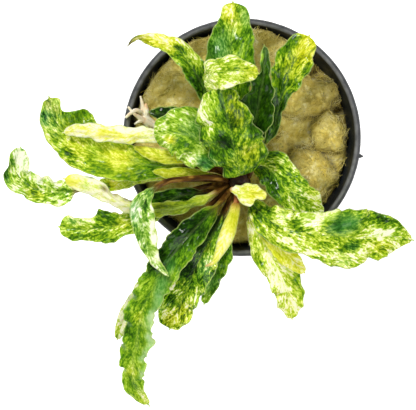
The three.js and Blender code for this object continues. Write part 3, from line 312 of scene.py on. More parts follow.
            (0.66, 4.8, 6.2), (0.74, 4.4, 6.7), (0.8, 3.9, 6.3), (0.845, 3.5, 4.6),
            (0.875, 3.2, 2.5), (0.91, 2.7, 2), (0.96, 1.7, 2.2)],
        fold=10, cup=-14, ruffle=0.7, waves=6, lobes=0.25, tone=(0.62, 0.35, 0, 0.62),
        patches=[patch(-31, -5.8, 3, pale=-0.07, blue_and_sheen=0.1),
            patch(-36, -2, 2.2, pale=0.1, warm=0.2, plain=-0.5),
            patch(-37, -6, 2.2, pale=0.1, plain=-0.8),
            patch(-42, 4, 3.4, pale=-0.04, blue_and_sheen=0.45, plain=-0.9),
            patch(-43.3, 4.2, 1, pale=-0.25, blue_and_sheen=0.3), patch(-37.8, -3.9, 0.7, pale=-0.4),
            patch(-27, -4.6, 2.6, pale=0.14, warm=0.3), patch(-20, -7, 2.6, pale=-0.2),
            patch(-36, 5, 2.6, pale=-0.16), patch(-42.3, 7.5, 1, brown=0.3),
            patch(-40.5, 6, 0.8, brown=0.25), patch(-43, -1, 1.6, pale=0.1)]),
    dict(name="leaf_left_shaded", slot="leaf_dark", foot=(177, 52), start=0.5,
        midrib=[(-8, -9.2, 55.4), (-15, -9.2, 56.8), (-21, -8.8, 57.2), (-25, -9.3, 57),
            (-28.5, -10.2, 56.4), (-31.2, -10, 56)],
        blade=[(0.2, 0.9, 1.2), (0.45, 1.6, 1.8), (0.7, 1.9, 1.6), (0.93, 1.2, 1.1)],
        fold=8, cup=-8, ruffle=0.4, waves=4, lobes=0.3, tone=(0.68, 0.45, 0, 0.8),
        patches=[patch(-29.3, -10.8, 0.8, pale=-0.4), patch(-28, -10.3, 0.8, pale=0.1, warm=0.5)]),
    dict(name="leaf_left_pale", slot="leaf_pale", foot=(135, 56), start=0.35, roll=(180, 180, 180),
        midrib=[(-4.5, -5, 60), (-9, -2.2, 62.3), (-14.5, -0.4, 63.6), (-19.7, 0.1, 64.4),
            (-25.6, 0.1, 65), (-30.5, 0.5, 65), (-35.3, 1.2, 64.4), (-38.5, 0.6, 63.4)],
        blade=[(0.1, 1.4, 1.4), (0.35, 1.9, 1.9), (0.6, 2.2, 2), (0.82, 1.9, 1.7),
            (0.94, 1.2, 1.2)],
        fold=20, cup=15, ruffle=0.3, waves=5, lobes=0.2, tone=(1.02, 0.35, 0, 0.6),
        patches=[patch(-34.5, 1.2, 1.1, pale=-0.14, warm=0.4),
            patch(-30.3, 0.8, 1.2, pale=-0.24, warm=1), patch(-27, 0.2, 1, pale=-0.2, warm=1),
            patch(-23.5, 0, 1, pale=-0.1, warm=0.5), patch(-37.5, 1.6, 1, pale=-0.1, warm=0.2)]),
    dict(name="leaf_left_olive", slot="leaf_pale", foot=(162, 55.3), start=0.35, roll=(180, 180, 180),
        midrib=[(-5.5, -6.4, 59.1), (-11, -5, 61.2), (-17.3, -4.4, 62.3), (-23.4, -2.4, 62.6)],
        blade=[(0.2, 1.1, 1.1), (0.5, 1.6, 1.6), (0.8, 1.3, 1.3), (0.94, 0.7, 0.7)],
        fold=15, cup=10, ruffle=0.2, waves=3, lobes=0.15, tone=(0.65, 0.65, 0, 0.7),
        patches=[patch(-22.3, -1, 0.8, brown=0.7), patch(-18, -3.5, 1.6, pale=0.1)]),
    dict(name="leaf_left_olive_short", slot="leaf_pale", foot=(184, 54), start=0.3, roll=(180, 180, 180),
        midrib=[(-5.5, -8.8, 57.6), (-10, -8.2, 60.8), (-15, -8.1, 62.2), (-19.3, -7.6, 62)],
        blade=[(0.15, 1, 1), (0.4, 1.5, 1.4), (0.7, 1.4, 1.3), (0.9, 0.8, 0.8)],
        fold=18, cup=10, ruffle=0.2, waves=3, lobes=0.15, tone=(0.63, 0.65, 0, 0.6),
        patches=[]),
    dict(name="leaf_left_inner", slot="leaf_dark", foot=(132, 51.5), start=0.4,
        midrib=[(-5, -3.5, 54.8), (-9, 1, 57.4), (-13.5, 4, 59), (-20.2, 5.2, 58.6)],
        blade=[(0.2, 1.5, 1.5), (0.5, 2, 2), (0.8, 1.6, 1.6), (0.94, 0.8, 0.8)],
        fold=8, cup=-10, ruffle=0.3, waves=3, lobes=0.3, tone=(0.14, 0, 0, 1.2),
        patches=[]),
    dict(name="young_leaf_spear", slot="leaf_yellow", foot=(-100, 57.5), start=0.2,
        midrib=[(-1.2, -13.4, 60.5), (-2, -16.9, 63.8), (-2.7, -18.9, 65.3), (-3.3, -20.8, 66.3),
            (-4.1, -22.8, 67), (-5, -24.9, 67.4), (-6.2, -27, 67.3), (-8, -27.8, 67)],
        blade=[(0.1, 1.1, 1.1), (0.22, 1.3, 1.2), (0.4, 1.6, 1.5), (0.52, 1.7, 1.6),
            (0.65, 1.4, 1.4), (0.77, 0.9, 1), (0.88, 0.5, 0.6), (0.95, 0.3, 0.35)],
        fold=0, cup=0, ruffle=0, waves=0, lobes=0, rolled=True, tone=(0.8, 1, 0, 0.4),
        patches=[patch(-4, -22, 1.6, pale=0.1), patch(-8.2, -27.7, 1.2, pale=0.1, brown=0.15),
            patch(-1.4, -14.6, 1.7, brown=0.9), patch(-1.9, -18, 1.8, pale=-0.12),
            patch(-7.8, -27.9, 0.8, brown=0.5)]),
    dict(name="young_leaf_curled", slot="leaf_yellow", foot=(-40, 58), start=0.48,
        midrib=[(-0.7, -11.3, 60.6), (-2.2, -11.5, 62.7), (-2.1, -11.6, 64.6), (-0.2, -12, 65.8),
            (1.7, -12.4, 66.3), (5.1, -12.7, 65.6)],
        blade=[(0.14, 1.2, 1.2), (0.35, 1.9, 2.3), (0.56, 2.1, 2.8), (0.64, 2.1, 2.4),
            (0.7, 2.1, 1.2), (0.84, 1.3, 1.1), (0.95, 0.8, 1)],
        fold=6, cup=-20, ruffle=0.3, waves=3, lobes=0.2, tone=(0.9, 0.5, 0, 0.6),
        patches=[patch(3, -12.5, 1.2, pale=-0.2, warm=0.4)]),
]

BLADE_THICKNESS = 0.42
VEIN_ANGLE = math.radians(15)  # between the lateral veins and the midrib
VEIN_SPACING = 1.9
VEIN_HEIGHT = 0.08
MIDRIB_GROOVE = (0.2, 0.4)  # its depth and half-width on the upper face
MIDRIB_RIDGE = (0.26, 0.55)  # its height and half-width on the lower face
SCALLOP = 4.6  # from one lobe of a margin to the next
CRIMP = 2.3  # from one small notch in the lobes to the next
FINE_WAVE = 3.1  # from one crest of a margin's fine waves to the next
COCKLE = 6.3  # from one bulge between midrib and margin to the next
COCKLE_HEIGHT = 0.24
COLUMNS = 32  # across one face of a leaf
STATION_SPACING = 0.42  # along a blade
STALK_SPACING = 0.9  # along a petiole


# Small sums

def smooth(x):
    x = np.clip(x, 0, 1)
    return x * x * (3 - 2 * x)


def unit(vectors):
    return vectors / np.linalg.norm(vectors, axis=-1, keepdims=True)


def wave(run, period, start=0.0):
    return np.sin(2 * math.pi * run / period + start)


def scallops(run, period, start):
    """Round lobes with narrow notches between them, from -0.8 to 0.85."""
    return 2 * np.sqrt(wave(run, 2 * period, start) ** 2 + 0.04) - 1.2


def swell(places, size, seed):
    """Smooth unevenness between about -1 and 1, in lumps of about the given size.

    It is the sum of eight waves that cross at random.
    """
    rng = np.random.default_rng(seed)
    total = np.zeros(places.shape[:-1])
    for _ in range(8):
        heading = unit(rng.normal(size=3)) * 2 * math.pi / size * rng.uniform(0.6, 1.3)
        total += np.sin(places @ heading + rng.uniform(0, 2 * math.pi))
    return total / 3


def even_steps(values, shares):
    """Values given at even steps from 0 to 1, read at the given shares."""
    return np.interp(shares * (len(values) - 1), range(len(values)), values)


def spline(knots):
    """Dense places on the centripetal curve through the knots."""
    knots = np.array(knots, float)
    knots = np.vstack([2 * knots[0] - knots[1], knots, 2 * knots[-1] - knots[-2]])
    shares = np.linspace(0, 1, 60, endpoint=False)[:, None]
    spans = []
    for a, b, c, d in zip(knots, knots[1:], knots[2:], knots[3:]):
        before, here, after = (np.linalg.norm(q - p) ** 0.5 for p, q in ((a, b), (b, c), (c, d)))
        leave = ((b - a) / before - (c - a) / (before + here) + (c - b) / here) * here
        arrive = ((c - b) / here - (d - b) / (here + after) + (d - c) / after) * here
        spans.append(between(b, c, leave, arrive, shares))
    return np.vstack(spans + [knots[-2:-1]])


def between(start, end, leave, arrive, share):
    """A smooth run from start to end that leaves and arrives at the given slopes."""
    rise = end - start
    return (
        start + leave * share + (3 * rise - 2 * leave - arrive) * share**2
        + (leave + arrive - 2 * rise) * share**3
    )


def walk(path, shares):
    """Places and headings at shares of a dense path's length, and that length."""
    run = np.concatenate([[0], np.cumsum(np.linalg.norm(np.diff(path, axis=0), axis=1))])
    heading = np.gradient(path, run, axis=0)
    at = shares * run[-1]
    place, way = (
        np.stack([np.interp(at, run, line[:, k]) for k in range(3)], axis=1)
        for line in (path, heading)
    )
    return place, unit(way), run[-1]


# Leaf shapes

def petiole_foot(azimuth, height):
    """Where a petiole starts, just clear of the rhizome's skin."""
    share = (height - RHIZOME_FOOT[2]) / (RHIZOME_TOP[2] - RHIZOME_FOOT[2])
    middle = RHIZOME_FOOT + (RHIZOME_TOP - RHIZOME_FOOT) * share
    turn = math.radians(azimuth)
    out = np.array((math.cos(turn), math.sin(turn), 0))
    return middle + out * (even_steps(RHIZOME_RADII, share) + CLEARANCE + 0.1)


def half_width(rows, share, column):
    """Half-width of the blade: it swells from nothing and ends in a round tip."""
    cap_end = 0.985
    first, last = rows[0], rows[-1]
    if share <= 0 or share >= cap_end:
        return 0
    if share <= first[0]:
        return first[column] * math.sin(math.pi / 2 * share / first[0])
    if share >= last[0]:
        return last[column] * math.sqrt(1 - ((share - last[0]) / (cap_end - last[0])) ** 2)
    i = next(k for k, row in enumerate(rows) if row[0] > share) - 1
    before, here, after, beyond = (
        rows[k] for k in (max(i - 1, 0), i, i + 1, min(i + 2, len(rows) - 1))
    )
    gap = after[0] - here[0]
    leave = (after[column] - before[column]) / (after[0] - before[0]) * gap
    arrive = (beyond[column] - here[column]) / (beyond[0] - here[0]) * gap
    return between(here[column], after[column], leave, arrive, (share - here[0]) / gap)


def leaf_frames(shares, headings, leaf):
    """Upper-face and left-hand directions: level at mid-blade, carried both ways, then rolled."""
    start = leaf["start"]
    home = int(np.argmin(abs(shares - (1 + start) / 2)))
    face = np.zeros_like(headings)
    up = np.array((0, 0, 1.0))
    face[home] = unit(up - headings[home] * (headings[home] @ up))
    onward = [(i, i - 1) for i in range(home + 1, len(shares))]
    backward = [(i, i + 1) for i in range(home - 1, -1, -1)]
    for here, last in onward + backward:
        face[here] = unit(face[last] - headings[here] * (headings[here] @ face[last]))
    halves = 2 * np.clip((shares - start) / (1 - start), 0, 1)
    low, mid, high = leaf.get("roll", (0, 0, 0))
    rolling = low + (mid - low) * smooth(halves) + (high - mid) * smooth(halves - 1)
    angle = np.radians(rolling)[:, None]
    face = face * np.cos(angle) + np.cross(headings, face) * np.sin(angle)
    return face, unit(np.cross(face, headings))


def leaf_stations(leaf, length):
    """Shares of the leaf's length where its rings lie, closer together towards the tip."""
    start = leaf["start"]
    blade = (1 - start) * length
    tip_start = 0.965
    stalk = np.linspace(0, start, max(4, round(start * length / STALK_SPACING)), endpoint=False)
    body = np.linspace(0, tip_start, round(tip_start * blade / STATION_SPACING), endpoint=False)
    tip = 1 - (1 - tip_start) * np.linspace(1, 0.02, 8) ** 1.5
    return np.concatenate([stalk, start + (1 - start) * np.concatenate([body, tip])])


def leaf_columns(spread):
    """How far across each column lies, from 1 at the left margin to -1, and 1 or -1 for its face.

    Columns run over the upper face and back under, bunched at the margins and on the petiole.
    """
    turn = np.linspace(0, math.pi, COLUMNS + 1)
    bunched, even = np.cos(turn), 1 - 2 * turn / math.pi
    evenness = 0.6 * spread[:, None]
    lateral = bunched + (even - bunched) * evenness
    lateral = np.concatenate([lateral, lateral[:, -2:0:-1]], axis=1)
    return lateral, np.concatenate([np.ones(COLUMNS + 1), -np.ones(COLUMNS - 1)])


def lobed_half_widths(leaf, share, along, calm, stalk, rng):
    """Half-widths on the left and the right, with uneven lobes, no narrower than the stalk."""
    widths = []
    for column in (1, 2):
        # Slow waves with periods of 9 to 17 mm make every lobe differ in length and in depth.
        starts = rng.uniform(0, 2 * math.pi, 3)
        lobes = scallops(along, SCALLOP, starts[0] + 0.7 * wave(along, 17, starts[2]))
        lobes *= 0.75 + 0.25 * wave(along, 13, starts[1])
        lobes += 0.35 * scallops(along, CRIMP, starts[1] + 0.8 * wave(along, 9, starts[2]))
        plain = np.array([half_width(leaf["blade"], s, column) for s in share])
        room = np.minimum(1, plain / 3) * calm * smooth(share * 4)
        widths.append(np.maximum(stalk, plain + leaf["lobes"] * lobes * room))
    return widths


def leaf_rings(leaf, seed):
    """Rings round one leaf, petiole and blade as one, with where each point lies on the blade."""
    rng = np.random.default_rng(seed)
    path = spline([petiole_foot(*leaf["foot"]), *leaf["midrib"]])
    length = walk(path, np.array([0.0]))[2]
    shares = leaf_stations(leaf, length)
    middle, heading, _ = walk(path, shares)
    face, side = leaf_frames(shares, heading, leaf)
    share = (shares - leaf["start"]) / (1 - leaf["start"])
    blade = (1 - leaf["start"]) * length
    along = share * blade
    still_rolled = leaf.get("rolled", False)
    # The blade opens out of the round petiole as spread goes from 0 to 1, over its first eighth.
    # Its waves and lobes are as strong as calm, which fades again over its last fifth.
    spread = np.zeros(len(share)) if still_rolled else smooth(share * 8)
    calm = spread * smooth((1 - share) * 5)
    lateral, top = leaf_columns(spread)
    left = lateral > 0
    across = abs(lateral)

    stalk = PETIOLE_RADIUS + (TIP_RADIUS - PETIOLE_RADIUS) * np.clip(share, 0, 1)
    widths = lobed_half_widths(leaf, share, along, calm, stalk, rng)
    half = np.where(left, widths[0][:, None], widths[1][:, None])
    round_part = 0.85 * (widths[0] if still_rolled else stalk)
    flat_part = BLADE_THICKNESS / 2 * np.sqrt(np.minimum(1, np.minimum(*widths)))

    spread, calm, run = spread[:, None], calm[:, None], along[:, None]
    fold = math.radians(leaf["fold"]) * spread
    bend = math.radians(leaf["cup"]) * spread + 1e-6
    lean = fold + bend * across
    reach = half * (np.sin(lean) - np.sin(fold)) / bend
    lift = half * (np.cos(fold) - np.cos(lean)) / bend
    out = across * half

    # The two halves of the blade wave out of step.
    lag = rng.uniform(0, 2 * math.pi, 3)
    swing = np.sin(2 * math.pi * leaf["waves"] * share[:, None] + np.where(left, 0.4, 2.3))
    crimp = wave(run, FINE_WAVE, np.where(left, lag[0], lag[1]) + 1.2 * wave(run, 11))
    cockle = wave(run, COCKLE, lag[2]) * np.where(left, 1, -0.8)
    veins = wave(out * math.cos(VEIN_ANGLE) - run * math.sin(VEIN_ANGLE), VEIN_SPACING)
    rib = np.where(top > 0, *(
        -deep * np.exp(-((out / wide) ** 2)) for deep, wide in (MIDRIB_GROOVE, MIDRIB_RIDGE)
    ))
    ripple = calm * (
        leaf["ruffle"] * (across**2 * swing + 0.55 * across**3 * crimp)
        + np.sin(math.pi * across) * (COCKLE_HEIGHT * cockle + VEIN_HEIGHT * veins)
        + (0 if still_rolled else rib)
    )

    thick_round = round_part[:, None] * np.sqrt(np.maximum(0, 1 - across**2))
    thick_flat = flat_part[:, None] * (1 - across**4)
    thick = thick_round + (thick_flat - thick_round) * spread
    sideways = np.where(left, 1, -1) * (reach - np.sin(lean) * ripple)
    outward = lift + np.cos(lean) * ripple + top * thick
    rings = (
        middle[:, None] + side[:, None] * sideways[..., None] + face[:, None] * outward[..., None]
    )
    return rings, share, lateral, top, half, blade


# Meshes

def new_object(name, data):
    made = bpy.data.objects.new(name, data)
    bpy.context.scene.collection.objects.link(made)
    return made


def mesh_in_metres(name, points, faces):
    mesh = bpy.data.meshes.new(name)
    mesh.from_pydata((np.asarray(points) * MM).tolist(), [], faces)
    return mesh


def make_piece(name, points, faces, material, notes=()):
    """A smooth-shaded mesh object from points in millimetres, with what its material reads."""
    mesh = mesh_in_metres(name, points, faces)
    mesh.materials.append(material)
    mesh.shade_smooth()
    for label, kind, values in notes:
        layer = mesh.attributes.new(label, kind, "POINT")
        layer.data.foreach_set("color" if kind == "FLOAT_COLOR" else "vector", np.ravel(values))
    mesh.validate()
    return new_object(name, mesh)


def skin_rings(rings):
    """Points and faces of a closed surface over rings of equal count, each end drawn to a point."""
    count = len(rings[0])
    faces = []
    for i in range(len(rings) - 1):
        a, b = i * count, (i + 1) * count
        faces += [(a + j, a + (j + 1) % count, b + (j + 1) % count, b + j) for j in range(count)]
    first, end = len(rings) * count, (len(rings) - 1) * count
    faces += [(first, (j + 1) % count, j) for j in range(count)]
    faces += [(first + 1, end + j, end + (j + 1) % count) for j in range(count)]
    return with_ends(rings), faces


def with_ends(rings):
    """The rings' values in one list, and then the mean of the first ring and of the last."""
    ends = [rings[0].mean(axis=0), rings[-1].mean(axis=0)]
    return np.concatenate([*rings, ends])


def seen_from_above(points):
    """Where points are seen from above, carried to the height of the pot's rim."""
    centre, height = np.array(CAMERA_PLACE[:2]), CAMERA_PLACE[2]
    nearer = (height - POT_HEIGHT) / (height - points[..., 2:])
    return centre + (points[..., :2] - centre) * nearer


def leaf_surface(leaf, seed):
    """Points and faces of one leaf, and what its material reads at each point."""
    rings, share, lateral, top, half, blade = leaf_rings(leaf, seed)
    share = share[:, None]
    edge = np.minimum((1 - abs(lateral)) * half, (1 - share) * blade)
    tone = np.stack(np.broadcast_arrays(*leaf["tone"], lateral), axis=-1)[..., :4].copy()
    # The petiole's red-brown fades out where the blade begins.
    brown = 1 - smooth((share + 0.03) / 0.1) + 0 * lateral
    seen = seen_from_above(rings)
    stretch = 1.5  # patches are longer along the blade than across it
    for spot, reach, change, browner, plainer in leaf["patches"]:
        miss = np.linalg.norm(seen - spot, axis=-1)
        i, j = np.unravel_index(np.argmin(miss), miss.shape)
        at = np.clip(share[i], 0, 1)
        away = np.hypot((share - at) * blade / stretch, (lateral - lateral[i, j]) * half)
        strength = np.exp(-((away / reach) ** 2.5))
        tone[..., :3] += strength[..., None] * np.array(change)
        tone[..., 3] *= 1 - strength * plainer
        brown += strength * browner
    own_marbling = 13.7 * seed
    place = np.stack(np.broadcast_arrays(share * blade, lateral * half, own_marbling), axis=-1)
    form = np.stack(np.broadcast_arrays(edge, brown, top < 0), axis=-1)
    notes = (
        ("leaf_place", "FLOAT_VECTOR", with_ends(place)),
        ("leaf_form", "FLOAT_VECTOR", with_ends(form)),
        ("leaf_tone", "FLOAT_COLOR", with_ends(tone)),
    )
    return *skin_rings(rings), notes


# Materials

# A colour mix's sockets go by number, since it has several of each name: its share and two colours.
MIX_SHARE, MIX_FROM, MIX_TO = 0, 6, 7


def linear(hex_colour):
    """An sRGB hex colour as linear red, green, blue and alpha."""
    channels = [int(hex_colour[i:i + 2], 16) / 255 for i in (1, 3, 5)]
    return (*(c / 12.92 if c <= 0.04045 else ((c + 0.055) / 1.055) ** 2.4 for c in channels), 1)


def add(tree, kind, inputs=None, stops=(), **settings):
    """A node with its settings. Each input is a value, a socket, or a node that feeds it.

    stops are a colour ramp's places and hex colours.
    """
    node = tree.nodes.new(kind)
    for name, value in settings.items():
        setattr(node, name, value)
    for key, value in (inputs or {}).items():
        if isinstance(value, bpy.types.Node):
            value = next(socket for socket in value.outputs if socket.enabled)
        if isinstance(value, bpy.types.NodeSocket):
            tree.links.new(value, node.inputs[key])
        else:
            node.inputs[key].default_value = value
    for i, (place, colour) in enumerate(stops):
        elements = node.color_ramp.elements
        stop = elements[i] if i < 2 else elements.new(place)
        stop.position = place
        stop.color = linear(colour)
    return node


def new_material(name):
    material = bpy.data.materials.new(name)
    material.use_nodes = True
    material.node_tree.nodes.clear()
    return material, material.node_tree


# Leaf tissue as it darkens from bare cream to full green, in its plain, its blue-green and its
# yellow parts. The blue-greens also colour a painted sheen where a leaf reflects light.
GREENS = ((0.0, "#0d2603"), (0.12, "#1b3b05"), (0.25, "#2c5208"), (0.37, "#416c0f"),
          (0.48, "#558612"), (0.59, "#78a018"), (0.7, "#98bc2a"), (0.8, "#bcd64e"),
          (0.9, "#e2eca0"), (1.0, "#f8f8de"))
BLUE_GREENS = ((0.0, "#0c2a08"), (0.2, "#1e4d14"), (0.38, "#37752a"), (0.54, "#5c9642"),
               (0.7, "#8cb86a"), (0.85, "#bfd8a0"), (1.0, "#eef4dc"))
YELLOWS = ((0.0, "#2f3a04"), (0.25, "#66780a"), (0.45, "#a2aa0a"), (0.65, "#cdd020"),
           (0.82, "#eae85e"), (1.0, "#f9f6cc"))
# The petioles' red-browns run down nearly to black: partly their own colour, partly painted shade of the
# crown under the leaves. The young pinks below are their own colour.
PETIOLE_BROWNS_AND_SHADE = ((0.34, "#2e1a0a"), (0.5, "#5c3e16"), (0.66, "#94702c"))
YOUNG_PINKS = ((0.34, "#8a4220"), (0.5, "#b86c40"), (0.66, "#d89a64"))

# The marbling has three layers. Of each: its length along a vein and width across it in
# millimetres, how ragged and how twisted it is, and how much paler or darker it makes the leaf.
# The finest real flecks are single cells. They are drawn as clusters, or they wouldn't show.
MARKINGS = {
    "cloud": (5.0, 2.8, 3.0, 1.2, 0.12),
    "streak": (1.7, 0.6, 3.0, 0.8, 0.1),
    "fleck": (0.7, 0.4, 1.0, 0.3, 0.09),
}

# The margin is a hair-thin pale line, and the midrib a broader, fainter one. Of each: where it
# starts and ends in millimetres, its strength and its colour.
MARGIN_LINE = (0.06, 0.32, 0.58, "#bace70")
MIDRIB_LINE = (0.1, 0.4, 0.06, "#b4c878")


def leaf_cuticle(name, gloss, petiole=PETIOLE_BROWNS_AND_SHADE):
    """Living leaf under a thin wax skin: glossy, with green and bare cream cells in streaks."""
    material, tree = new_material(name)
    noted = {
        note: add(tree, "ShaderNodeAttribute", attribute_name="leaf_" + note).outputs
        for note in ("place", "form", "tone")
    }
    along, out, seed = add(tree, "ShaderNodeSeparateXYZ", {0: noted["place"]["Vector"]}).outputs
    edge, brown, under = add(tree, "ShaderNodeSeparateXYZ", {0: noted["form"]["Vector"]}).outputs
    pale, warm, blue_and_sheen = add(tree, "ShaderNodeSeparateColor", {0: noted["tone"]["Color"]}).outputs

    # Places are turned so that X runs along the lateral veins, which leave both sides of the
    # midrib. The left half is marbled apart from the right.
    from_midrib = add(tree, "ShaderNodeMath", {0: out}, operation="ABSOLUTE")
    side = add(tree, "ShaderNodeMath", {0: out, 1: 0.0}, operation="GREATER_THAN")
    own = add(tree, "ShaderNodeMath", {0: side, 1: 7.3, 2: seed}, operation="MULTIPLY_ADD")
    flat = add(tree, "ShaderNodeCombineXYZ", {0: along, 1: from_midrib, 2: own})
    veined = add(tree, "ShaderNodeVectorRotate", {"Vector": flat, "Angle": -VEIN_ANGLE},
                 rotation_type="Z_AXIS")
    markings = {}
    marbled = 0.0
    for marking, (length, width, detail, twist, strength) in MARKINGS.items():
        scaled = add(tree, "ShaderNodeVectorMath", {0: veined, 1: (1 / length, 1 / width, 1)},
                     operation="MULTIPLY")
        markings[marking] = add(tree, "ShaderNodeTexNoise", {
            "Vector": scaled, "Scale": 1.0, "Detail": detail, "Roughness": 0.55,
            "Distortion": twist})
        swung = add(tree, "ShaderNodeMapRange", {
            "Value": markings[marking], "From Min": 0.4, "From Max": 0.6, "To Min": -strength,
            "To Max": strength}, interpolation_type="SMOOTHSTEP")
        marbled = add(tree, "ShaderNodeMath", {0: swung, 1: marbled}, operation="ADD")
    pale = add(tree, "ShaderNodeMath", {0: marbled, 1: noted["tone"]["Alpha"], 2: pale},
               operation="MULTIPLY_ADD")
    # The under face is duller: its darks are paler and its creams darker.
    dulled = add(tree, "ShaderNodeMath", {0: pale, 1: -0.15, 2: 0.1}, operation="MULTIPLY_ADD")
    pale = add(tree, "ShaderNodeMath", {0: under, 1: dulled, 2: pale}, operation="MULTIPLY_ADD")

    hue = add(tree, "ShaderNodeMath", {0: markings["cloud"], 1: 0.5}, operation="SUBTRACT")
    # The blue-green share: partly the leaf's own tint, partly a painted sheen of reflected light.
    bluer_and_sheen = add(tree, "ShaderNodeMath", {0: hue, 1: 0.4, 2: blue_and_sheen}, operation="MULTIPLY_ADD")
    # Yellow shows in the pale parts: dark tissue stays a plain green.
    sunny = add(tree, "ShaderNodeMath", {0: pale, 1: 0.7, 2: -0.48}, operation="MULTIPLY_ADD")
    warmer = add(tree, "ShaderNodeMath", {0: hue, 1: -0.4, 2: warm}, operation="MULTIPLY_ADD")
    warmer = add(tree, "ShaderNodeMath", {0: warmer, 1: sunny}, operation="ADD")
    colour = add(tree, "ShaderNodeValToRGB", {0: pale}, GREENS)
    for strength, stops in ((bluer_and_sheen, BLUE_GREENS), (warmer, YELLOWS)):
        share = add(tree, "ShaderNodeMapRange", {
            "Value": strength, "From Min": 0.1, "From Max": 0.9}, interpolation_type="SMOOTHSTEP")
        tint = add(tree, "ShaderNodeValToRGB", {0: pale}, stops)
        colour = add(tree, "ShaderNodeMix", {MIX_SHARE: share, MIX_FROM: colour, MIX_TO: tint},
                     data_type="RGBA")
    for run, (near, far, strength, shade) in ((edge, MARGIN_LINE), (from_midrib, MIDRIB_LINE)):
        line = add(tree, "ShaderNodeMapRange", {
            "Value": run, "From Min": near, "From Max": far, "To Min": strength,
            "To Max": 0.0}, interpolation_type="SMOOTHSTEP")
        colour = add(tree, "ShaderNodeMix", {
            MIX_SHARE: line, MIX_FROM: colour, MIX_TO: linear(shade)}, data_type="RGBA")
    red_brown = add(tree, "ShaderNodeValToRGB", {0: markings["cloud"]}, petiole)
    colour = add(tree, "ShaderNodeMix", {MIX_SHARE: brown, MIX_FROM: colour, MIX_TO: red_brown},
                 data_type="RGBA")

    wax = add(tree, "ShaderNodeMapRange", {
        "Value": markings["streak"], "From Min": 0.3, "From Max": 0.7, "To Min": gloss - 0.05,
        "To Max": gloss + 0.08})
    cells = add(tree, "ShaderNodeMath", {0: markings["streak"], 1: 0.7, 2: markings["fleck"]},
                operation="MULTIPLY_ADD")
    relief = add(tree, "ShaderNodeBump", {
        "Strength": 0.4, "Distance": 0.07 * MM, "Height": cells})
    shader = add(tree, "ShaderNodeBsdfPrincipled", {
        "Base Color": colour, "Roughness": wax, "Normal": relief, "Specular IOR Level": 0.04,
        "Subsurface Weight": 0.12, "Subsurface Scale": MM, "Subsurface Radius": (0.5, 0.9, 0.2),
        "Coat Weight": 0.16, "Coat Roughness": 0.07})
    add(tree, "ShaderNodeOutputMaterial", {0: shader})
    return material


def mottled(name, stops, lump, ragged, grain, relief, roughness, marks=None, **finish):
    """A material that varies in lumps, and in a grain with some relief, in millimetres.

    ragged is the detail within a lump, and roughness its lowest and highest value. marks adds
    further marks to its colour, painted light and shade among them.
    """
    material, tree = new_material(name)
    place = add(tree, "ShaderNodeTexCoord").outputs["Object"]
    lumps = add(tree, "ShaderNodeTexNoise", {
        "Vector": place, "Scale": 1 / (lump * MM), "Detail": ragged, "Roughness": 0.6,
        "Distortion": 0.3})
    grains = add(tree, "ShaderNodeTexNoise", {
        "Vector": place, "Scale": 1 / (grain * MM), "Detail": 2.0})
    colour = add(tree, "ShaderNodeValToRGB", {0: lumps}, stops)
    if marks:
        colour = marks(tree, place, colour)
    rough = add(tree, "ShaderNodeMapRange", {
        "Value": grains, "From Min": 0.3, "From Max": 0.7, "To Min": roughness[0],
        "To Max": roughness[1]})
    bumps = add(tree, "ShaderNodeBump", {
        "Strength": 0.6, "Distance": relief * MM, "Height": grains})
    inputs = {key.replace("_", " "): value for key, value in finish.items()}
    shader = add(tree, "ShaderNodeBsdfPrincipled", {
        "Base Color": colour, "Roughness": rough, "Normal": bumps, **inputs})
    add(tree, "ShaderNodeOutputMaterial", {0: shader})
    return material


def painted_shade_and_crumbs(tree, place, colour):
    """Dark brown painted shade in the wool's creases, holes and tuft edges and by the wall, and brown
    crumbs under a millimetre across.
    """
    painted_shade = add(tree, "ShaderNodeAttribute", attribute_name="wool_painted_shade").outputs["Fac"]
    crumbs = add(tree, "ShaderNodeTexNoise", {
        "Vector": place, "Scale": 1 / (0.9 * MM), "Detail": 3.0, "Roughness": 0.6,
        "Distortion": 0.6})
    flecks = add(tree, "ShaderNodeMapRange", {
        "Value": crumbs, "From Min": 0.56, "From Max": 0.68, "To Max": 0.55},
        interpolation_type="SMOOTHSTEP")
    brown = add(tree, "ShaderNodeMath", {0: painted_shade, 1: flecks}, operation="MAXIMUM")
    return add(tree, "ShaderNodeMix", {
        MIX_SHARE: brown, MIX_FROM: colour, MIX_TO: linear("#5a481c")}, data_type="RGBA")


def painted_lip_highlight(tree, place, colour):
    """A painted highlight on top of the lip, full on its crest and fainter down its outer shoulder, broken
    into patches.
    """
    across, back, height = add(tree, "ShaderNodeSeparateXYZ", {0: place}).outputs
    flat = add(tree, "ShaderNodeCombineXYZ", {0: across, 1: back})
    radius = add(tree, "ShaderNodeVectorMath", {0: flat}, operation="LENGTH").outputs["Value"]
    lip = 1.0
    for value, none, full, least in (
        (radius, RIM_RADIUS - 1.5, RIM_RADIUS - 1.2, 0.0),
        (radius, RIM_RADIUS - 0.4, RIM_RADIUS - 0.85, 0.45),
        (height, POT_HEIGHT - 1.3, POT_HEIGHT - 0.6, 0.0),
    ):
        part = add(tree, "ShaderNodeMapRange", {
            "Value": value, "From Min": none * MM, "From Max": full * MM, "To Min": least},
            interpolation_type="SMOOTHSTEP")
        lip = add(tree, "ShaderNodeMath", {0: part, 1: lip}, operation="MULTIPLY")
    highlight_breakup = add(tree, "ShaderNodeTexNoise", {
        "Vector": place, "Scale": 1 / (1.6 * MM), "Detail": 4.0})
    highlight_patches = add(tree, "ShaderNodeMapRange", {
        "Value": highlight_breakup, "From Min": 0.3, "From Max": 0.65, "To Min": 0.45})
    lip_highlight = add(tree, "ShaderNodeMath", {0: lip, 1: highlight_patches}, operation="MULTIPLY")
    return add(tree, "ShaderNodeMix", {
        MIX_SHARE: lip_highlight, MIX_FROM: colour, MIX_TO: linear("#747474")}, data_type="RGBA")


